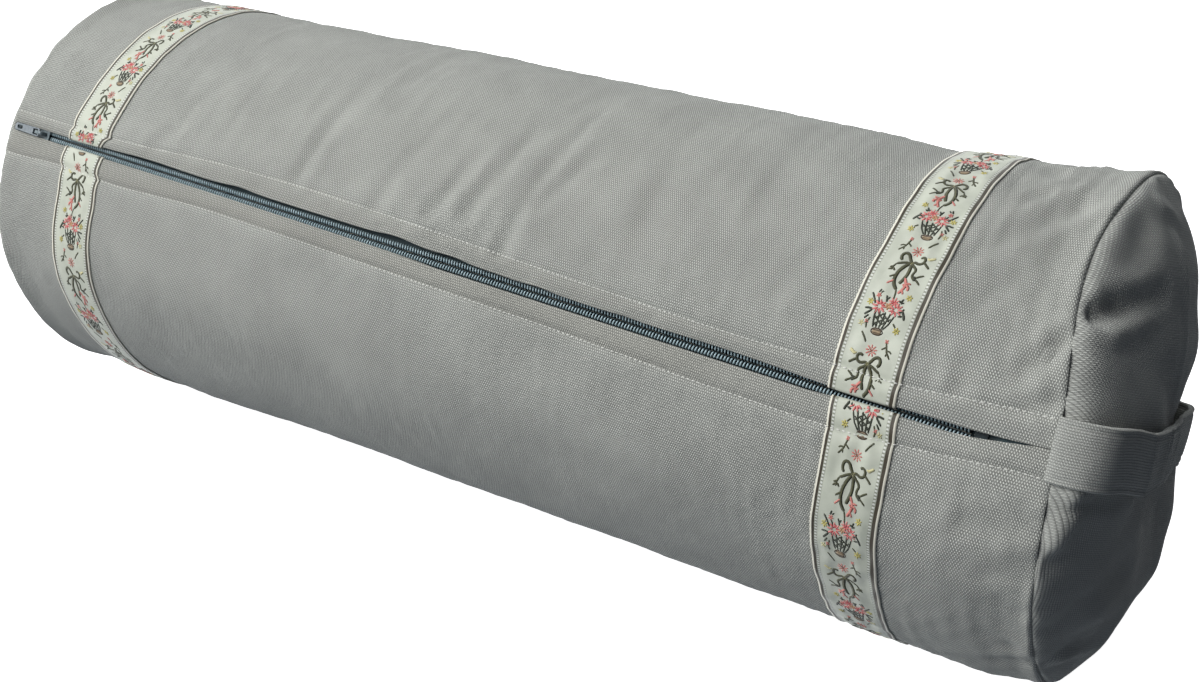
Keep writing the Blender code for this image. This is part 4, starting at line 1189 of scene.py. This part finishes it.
# One basket of flowers with its bow, in millimetres from the foot of the basket: each colour's floats
# of weft, with their widths and then the places across and up the ribbon that they run through
MOTIF_LINES = (
    ("tan", (1.9, -2.8, 1.5, 0.8, 1.5)),
    (
        "brown",
        (0.45, -3.1, 2.1, 1.1, 2.1), (0.45, -2.9, 1.1, 0.9, 1.1),
    ),
    (
        "green",
        (0.55, -3.2, 3, -3.9, 6, -4.4, 9.6), (0.55, -2, 3, -2.2, 6, -2.6, 9.8),
        (0.55, -0.8, 3, -0.4, 6, -0.2, 9.8), (0.55, 0.4, 3, 1.4, 6, 2, 9.8),
        (0.5, 1, 2.8, 2.8, 5.4, 3.8, 9), (0.45, -3.9, 5.2, -1.9, 3.6), (0.45, -4.1, 7.6, -0.8, 5),
        (0.45, -3.2, 9.2, 1.2, 5.6), (0.45, -1.2, 9.2, 2.6, 6.4), (0.45, -3.6, 4.2, 0.8, 7.6),
        (0.45, -3.9, 6.4, -0.6, 9.2), (0.45, -1.2, 3.8, 2.9, 7.6), (0.55, -5.9, 16.8, -5.3, 18.4),
        (0.5, -5, 16.9, -4.2, 17.8), (0.45, -5, 14.8, -4.2, 12.8),
        (0.6, -8.4, 16.3, -6.9, 14.4, -5.6, 12.2), (0.6, -2.3, 16.4, -1.6, 14.8, -1.4, 13.8),
        (0.5, -0.8, 16.2, -1.5, 14.9), (0.6, 4.6, 16.8, 3.9, 15.2), (0.6, 3, 15.8, 3.9, 15.2),
        (0.6, 5.2, 15.4, 4, 14.8), (0.65, -9, 9.6, -7, 10, -5.6, 9.6),
        (0.65, -8.2, 6.9, -7.2, 8, -5.9, 9.4), (0.55, -7.6, 5.4, -6.4, 7.2),
        (0.65, 4.4, 10.6, 5.8, 11.8, 6.3, 13), (0.75, 5.9, 12, 7, 10.6, 7.9, 8.6),
        (0.6, 5, 9.4, 6.6, 9.9),
    ),
    (
        "olive",
        (0.5, -5.4, 6.4, -6.2, 4, -5.6, 1.9), (0.5, 4.4, 6.2, 5.8, 4.9),
        (0.55, -6.6, 0.2, -5, -1.6, -3.8, -3.5), (0.55, 4.2, -1.6, 4.8, -3.3, 5.3, -5, 7.3, -7.4),
        (0.5, 4.8, -3.1, 3, -4.6), (0.5, 5.2, -4.6, 6.6, -4.4, 7.4, -5.2), (0.5, 5.6, -5.4, 5.4, -6.8),
        (0.95, 0.2, 33.2, -0.9, 34.4, -1.6, 35.8, -2.8, 36.5, -4, 36, -4.5, 34.6, -4.2, 33.3, -3.4, 32.7),
        (0.85, 0.5, 32.9, 1.8, 33.4, 3.2, 32.6, 4.6, 32.8, 5.5, 34.2, 5.2, 35.6, 4.1, 36.1, 3.2, 35.4),
        (0.7, 5.3, 33.8, 6.8, 32.7, 8.2, 31.6),
    ),
    (
        "straw",
        (0.9, 6.4, 35.3, 8.9, 36.8), (0.7, 5.9, 35.9, 7.6, 35.4),
    ),
    (
        "olive",
        (0.8, 0.5, 32.9, -1.6, 32.3, -3.4, 31.3, -4.8, 30.6), (0.6, -4.8, 30.6, -5.6, 29, -5.6, 27.4),
        (0.6, -5.4, 29.2, -6.8, 28.6), (0.6, -5.5, 28.4, -6.9, 27.4), (0.6, -5.2, 28.6, -4.2, 27.4),
        (0.8, 0.5, 32.9, 1.6, 31.6, 3.2, 30.6, 3.9, 29.4, 3.2, 28, 3.4, 26.6, 4.9, 25.6),
    ),
    ("green", (1.1, 4.2, 27, 5.2, 25.2)),
    (
        "olive",
        (0.6, 5, 26.6, 6.6, 27.8, 7.8, 28.4), (0.6, 5.2, 25.9, 6.6, 25, 7.6, 24.2),
        (1.05, -0.2, 32.2, -1.6, 30, -2.6, 27.4, -2.8, 24.6, -2.2, 22.2, -1, 20.6, -0.2, 20),
        (1.05, 0.8, 32, 1.2, 29.6, 1.3, 27, 0.6, 24.4, -0.1, 22.6),
    ),
    (
        "moss",
        (0.35, -1.4, 30.2, -2.5, 27.4, -2.7, 24.6), (0.35, 1.1, 29.8, 1.2, 27.2, 0.7, 25),
    ),
    (
        "olive",
        (0.5, -0.2, 20, 0.4, 18, 0.6, 15.6), (0.6, -2.8, 26, -5, 24.4),
    ),
    (
        "coral",
        (0.9, 1, 25.6, 2.2, 24, 2.9, 22.4, 2.2, 20.2, 1.2, 18.4), (0.7, 2.6, 23.4, 4.6, 23.4),
        (0.85, 3, 22.6, 4.4, 21.6, 4.2, 20.4), (0.6, 2, 20.6, 3.2, 18.6), (0.6, 2.6, 21.8, 1.4, 22.8),
        (0.6, -2.6, 23.6, -4.8, 21.4),
    ),
)
# Its flowers: petals' colour, middle, radius, width and number of petals
MOTIF_FLOWERS = (
    ("blush", -3.5, 11.2, 3, 0.85, 9), ("rose", -3.4, 11.4, 2.2, 0.75, 7),
    ("blush", 3.3, 11.8, 2.9, 0.85, 9), ("rose", 3.4, 11.7, 2.1, 0.75, 7),
    ("blush", 1.4, 14.4, 2.2, 0.75, 8), ("rose", 1.5, 14.2, 1.4, 0.7, 6),
    ("peach", -0.1, 12.4, 1.5, 0.9, 6), ("coral", -5.4, 15.7, 1.1, 0.8, 5),
    ("yellow", -7.8, 12.6, 1.5, 0.8, 6), ("yellow", 6.4, 17.8, 1.4, 0.8, 6),
    ("coral", -6.2, 4.6, 0.9, 0.7, 4), ("straw", -8, 3.4, 1.3, 0.7, 5),
    ("yellow", 6.6, 3.7, 1.5, 0.85, 6), ("brown", 6.6, 3.7, 0.45, 0.6, 3),
    ("coral", 4.2, -1, 0.9, 0.7, 4), ("coral", -0.6, -6.1, 2.4, 0.65, 9),
    ("brick", -0.6, -6.1, 0.8, 0.6, 4), ("moss", 0.5, 32.8, 0.9, 0.7, 5),
)
PATTERN_COLOURS = {
    "rose": (0.56, 0.085, 0.090),
    "blush": (0.66, 0.240, 0.215),
    "coral": (0.58, 0.200, 0.165),
    "peach": (0.52, 0.290, 0.150),
    "brick": (0.30, 0.075, 0.045),
    "yellow": (0.50, 0.440, 0.130),
    "straw": (0.58, 0.540, 0.290),
    "green": (0.028, 0.034, 0.018),
    "olive": (0.062, 0.064, 0.028),
    "moss": (0.24, 0.230, 0.105),
    "brown": (0.060, 0.040, 0.022),
    "tan": (0.30, 0.220, 0.130),
}


def motif_strokes():
    """All the floats of one motif: its lines, the petals of its flowers and the basket's rim."""
    strokes = []
    for colour, *lines in MOTIF_LINES:
        strokes += [(colour, line[0] * 1.45, np.reshape(line[1:], (-1, 2))) for line in lines]
    for colour, x, y, radius, width, petals in MOTIF_FLOWERS:
        ends = np.array([[0.34 if radius > 1.9 else 0.1], [1.0]]) * radius
        for i in range(petals):
            turn = math.tau * i / petals + radius
            strokes.append((colour, width, ends * (math.cos(turn), math.sin(turn)) + (x, y)))
    turn = np.linspace(0, math.tau, 17)
    strokes.append(("brown", 0.55, np.stack([2.5 * np.cos(turn) - 1.0, 1.4 * np.sin(turn) + 1.6], -1)))
    return strokes


def stroke_rings(path, width, low, high):
    """A stroke as a low four-sided ridge along its points across and round, cut off at the folds."""
    count = max(3, int(run_along(path)[-1] / FLOAT_STEP) + 2)
    path = respaced(path, count, 1 if count > 4 else 0)[1]
    path = path[(path[:, 1] > low) & (path[:, 1] < high)]
    if len(path) < 2:
        return None
    ahead = unit(np.gradient(path, axis=0))
    sideways = np.stack([-ahead[:, 1], ahead[:, 0]], -1) * width / 2
    sideways[[0, -1]] *= 0.7
    rim = path[:, None] + sideways[:, None] * np.array([1, 0, -1, 0])[:, None]
    return points(rim[..., 0], rim[..., 1], (0.00002, 0.00016, 0.00002, -0.00025))


def make_pattern(name, middle, way, feet, finishes):
    """The woven flowers of one ribbon, as floats of weft that stand a little off its ground. Every
    other motif is mirrored."""
    names = list(PATTERN_COLOURS)
    parts = []
    colours = []
    for side, row in zip((1, -1), feet):
        edge = float(fold_edge(middle, side)) + side * 0.0002
        low, high = sorted((edge, side * HALF_ROUND))
        for index, (foot, stretch) in enumerate(row):
            mirror = -way if index % 2 else way
            for colour, width, line in motif_strokes():
                rings = stroke_rings(line * MM * (mirror, stretch) + (0, foot * MM), width * MM, low, high)
                if rings is not None:
                    parts.append(rings + (middle, 0 if side > 0 else 2 * HALF_ROUND, RIBBON_TOP))
                    colours += [names.index(colour)] * (4 * len(rings) - 2)
    x, arc, height = np.concatenate([part.reshape(-1, 3) for part in parts]).T
    made = add_mesh(name, cover_point(x, arc, height), tube_faces(parts), finishes)
    made.data.polygons.foreach_set("material_index", colours)
    return made


# Where the baskets stand above and below the zip: distance round from its line in millimetres, and
# stretch along the ribbon
LEFT_FEET = (
    (
        (-7.0, 1.0), (37.0, 1.0), (82.0, 1.0), (128.0, 1.05), (175.0, 1.05), (222.0, 1.05), (269.0, 1.05),
        (316.0, 1.05),
    ),
    (
        (-4.6, 1.05), (-54.5, 1.12), (-108.0, 1.18), (-158.0, 1.1), (-205.0, 1.05), (-252.0, 1.05),
        (-299.0, 1.05), (-346.0, 1.05),
    ),
)
RIGHT_FEET = (
    (
        (-19.0, 1.0), (25.3, 1.0), (69.3, 0.96), (111.2, 0.92), (154.0, 1.0), (200.0, 1.05), (247.0, 1.05),
        (294.0, 1.05), (341.0, 1.05),
    ),
    (
        (-15.0, 1.08), (-70.0, 1.24), (-124.0, 1.2), (-175.0, 1.1), (-222.0, 1.05), (-269.0, 1.05),
        (-316.0, 1.05),
    ),
)
# Layers of the inside: depth under the cover, and how far their ends stand back
BAG_OUTSIDE = (0.0027, 0.0056)
BAG_INSIDE = (0.0034, 0.0066)
FILLING = (0.0038, 0.0071)
ZIP_FURROW = 0.0060            # how deep the zip presses into the bag
BAG_SEAM_DEPTH = 0.0050        # how far the bag's seams draw it in


def bag_depth(x, arc, depth):
    """Depth of the bag under the cover, with the furrow that the zip presses into it."""
    near_end = np.exp(-((HALF_LENGTH - np.abs(x)) / 0.012) ** 2)
    across = 1 - eased((from_zip(arc) - 0.0065) / 0.0095)
    return depth + BAG_SEAM_DEPTH * near_end + within(ZIP_FURROW_SPAN, x, ZIP_FURROW * across)


def bag_point(x, arc, depth):
    """World points of the bag or the filling at a depth under the cover."""
    angle = angle_at(x, arc)
    under = bag_depth(x, arc, depth)
    radius = tube_radius(x, arc) - under + form(x, angle) + 0.0003 * waves(x, arc, 31, 0.04, 0.06)
    z = np.maximum(radius * np.sin(angle), -AXIS_HEIGHT + under)
    return points(along_tube(x, angle), -radius * np.cos(angle), z + AXIS_HEIGHT)


def bag_dome(side, share, layer, arc):
    """Rings of a bag's or filling's end."""
    depth, setback = layer
    seam = side * HALF_LENGTH
    rim_x, y, z = np.moveaxis(bag_point(np.array([[seam]]), arc, depth), -1, 0)
    height = DOME_RISE * (1 - share ** DOME_FULLNESS) - setback
    height = height - end_slack(side, share, angle_at(seam, arc))
    x = seam + MIDDLE + side * height + (rim_x - seam - MIDDLE) * share ** 2
    return points(x, y * share, (z - AXIS_HEIGHT) * share + AXIS_HEIGHT)


def finish_node(node, finish):
    """Gives a CAD node that stays a better material."""
    for slot in frame["nodes"][node].material_slots:
        slot.material = finish


def dress(thing, slot, body, *nodes):
    """Says the body a piece moves with and the CAD nodes it stands for, which it hides; the slot argument is
    not used.
    """
    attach(thing, body)
    if nodes:
        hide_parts(*nodes)
    return thing


def make_inside():
    """The sewn bag, whose wall is one sheet outside and inside, and its stuffing."""
    calico = calico_material()
    wadding = stuffing_material()
    arc = np.linspace(0, 2 * HALF_ROUND, 180, endpoint=False)
    x = np.linspace(-HALF_LENGTH + 0.002, HALF_LENGTH - 0.002, 120)[:, None]
    rings = np.concatenate([bag_point(x, arc, BAG_OUTSIDE[0]), bag_point(x, arc, BAG_INSIDE[0])[::-1]])
    flat = points(x, arc)
    uv = np.concatenate([flat, flat[::-1]])
    tube = add_tubes("bag_tube", [rings], calico, uv, wrapped=True)
    dress(tube, "calico", "bolster", "inner_bag_tube")
    share = np.sin(np.linspace(0.03, 1, 40) * math.pi / 2)[:, None]
    for name, side in (("left", -1), ("right", 1)):
        outer, inner = (bag_dome(side, share, layer, arc) for layer in (BAG_OUTSIDE, BAG_INSIDE))
        rings = np.concatenate([outer, inner[::-1]])
        end = add_tubes("bag_end_" + name, [rings], calico, rings[..., 1:])
        dress(end, "calico", "bolster", "inner_bag_end_" + name)
    left, right = (bag_dome(side, share, FILLING, arc) for side in (-1, 1))
    x = np.linspace(-HALF_LENGTH + 0.004, HALF_LENGTH - 0.004, 110)[:, None]
    rings = np.concatenate([left, bag_point(x, arc, FILLING[0]), right[::-1]])
    stuffed = dress(add_tubes("stuffing", [rings], wadding), "stuffing", "bolster", "filling")


def make_cover():
    canvas = canvas_material("grey canvas", (0.656, 0.668, 0.612), (0.115, 0.117, 0.107), 0.70)
    end_canvas = canvas_material("end canvas", (0.545, 0.555, 0.510), (0.122, 0.124, 0.115), 0.40)
    tube = dress(make_cover_tube(canvas), "canvas", "bolster", "cover_tube")
    ends = (("right", 1, RIGHT_PANEL_FOLDS, 41), ("left", -1, LEFT_PANEL_FOLDS, 42))
    for name, side, fold_list, seed in ends:
        panel = make_panel("canvas_end_" + name, side, end_canvas, fold_list, seed)
        dress(panel, "canvas", "bolster", "cover_end_" + name)
    strap = dress(make_handle(end_canvas), "canvas", "bolster", "carry_handle")


def make_trims():
    weave = ribbon_material((RIGHT_RIBBON[1] - RIGHT_RIBBON[0]) / 2)
    finishes = [thread_material("weft " + name, colour, 0.55) for name, colour in PATTERN_COLOURS.items()]
    ribbons = (("left", LEFT_RIBBON, 1, LEFT_FEET), ("right", RIGHT_RIBBON, -1, RIGHT_FEET))
    for name, span, way, feet in ribbons:
        ribbon = make_ribbon("woven_ribbon_" + name, span, weave)
        dress(ribbon, "ribbon", "bolster", "ribbon_" + name)
        pattern = make_pattern(ribbon.name + "_flowers", sum(span) / 2, way, feet, finishes)
        dress(pattern, "ribbon", "bolster")
    thread = thread_material("grey thread", (0.660, 0.660, 0.615))
    for (name, side), seed in zip(SIDES, (51, 52)):
        row = make_topstitch("stitches_" + name, side, thread, seed)
        dress(row, "thread", "bolster", "topstitch_" + name)


def make_zip():
    cloth = tape_material()
    nylon = nylon_material()
    sewing = thread_material("zip thread", (0.060, 0.095, 0.105))
    metal = enamel_material("zip enamel", (0.095, 0.120, 0.130), (0.145, 0.180, 0.190), 0.15)
    stop_metal = enamel_material("stop enamel", (0.014, 0.024, 0.028), (0.026, 0.040, 0.046), 0.0, 0.12)
    pull_metal = enamel_material("pull enamel", (0.140, 0.160, 0.175), (0.195, 0.220, 0.235), 0.15)
    for name, side in SIDES:
        tape = dress(make_tape("tape_" + name, side, cloth), "zip_tape", "bolster", "zip_tape_" + name)
        coil = dress(make_coil("coil_" + name, side, nylon), "zip_coil", "bolster", "zip_coil_" + name)
        rows = dress(make_coil_thread("coil_thread_" + name, side, sewing), "thread", "bolster")
        finish_node("zip_top_stop_" + name, stop_metal)
    finish_node("zip_bottom_stop", stop_metal)
    slider = [dress(part, "zip_metal", "slider") for part in make_slider(metal)]
    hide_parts("zip_slider")
    dress(make_pull(pull_metal), "zip_metal", "pull", "zip_pull")


def add_camera():
    data = bpy.data.cameras.new("camera")
    data.lens = 46.74
    data.sensor_width = 36.0
    data.clip_start = 0.01
    camera = link("camera", data)
    camera.location = (0.40437, -0.60279, 0.44745)
    view = Vector((-0.47563, 0.75294, -0.45482))
    camera.rotation_euler = view.to_track_quat("-Z", "Y").to_euler()
    bpy.context.scene.camera = camera


def add_light():
    """A large soft key from the front left, a sky that glows at the left and is dim towards the
    handle, a bluish bounce from below, and plain white where the camera sees past the floor."""
    data = bpy.data.lights.new("key", "AREA")
    data.shape = "SQUARE"
    data.size = 1.2
    data.energy = 40.0
    key = link("key", data)
    turn = math.radians(-120)
    rise = math.radians(43)
    towards = Vector((math.cos(rise) * math.cos(turn), math.cos(rise) * math.sin(turn), math.sin(rise)))
    key.location = Vector((0, 0, 0.1)) + towards * 1.8
    key.rotation_euler = towards.to_track_quat("Z", "Y").to_euler()
    world = bpy.data.worlds.new("studio")
    world.use_nodes = True
    bpy.context.scene.world = world
    world.node_tree.nodes.clear()
    sky = Nodes(world.node_tree)
    place = sky.node("ShaderNodeTexCoord")

    def glow(colour, direction, full, strength):
        """Light from round a direction, at its full strength past this share of facing it."""
        facing = sky.node("ShaderNodeVectorMath", place, direction, output=1, operation="DOT_PRODUCT")
        return sky.node("ShaderNodeBackground", colour, sky.ramp(facing, 0.0, full, 0.0, strength))

    turn = math.radians(150)
    left = glow((0.98, 1.0, 1.0), (math.cos(turn), math.sin(turn), 0.0), 0.5, 1.38)
    bounce = glow((0.90, 1.0, 1.18), (0.0, -0.5, -0.866), 1.0, 0.36)
    above = glow((0.88, 0.97, 1.22), (0.0, 0.0, 1.0), 1.0, 0.14)
    lit = sky.node("ShaderNodeAddShader", sky.node("ShaderNodeAddShader", left, bounce), above)
    seen = sky.node("ShaderNodeBackground", (1.0, 1.0, 1.0), 1.0)
    chosen = sky.node("ShaderNodeMixShader", sky.node("ShaderNodeLightPath"), lit, seen)
    sky.give(sky.tree.nodes.new("ShaderNodeOutputWorld").inputs[0], chosen)


def add_floor():
    bpy.ops.mesh.primitive_circle_add(vertices=96, radius=3.0, fill_type="NGON", location=(0, 0, -0.0003))
    floor = bpy.context.object
    floor.name = "floor"
    floor.data.materials.append(floor_material())
    floor.visible_diffuse = False
    floor.visible_glossy = False


bpy.context.scene.view_settings.view_transform = "Standard"
bpy.context.scene.view_settings.look = "None"
add_camera()
add_light()
add_floor()
make_inside()
make_cover()
make_trims()
make_zip()
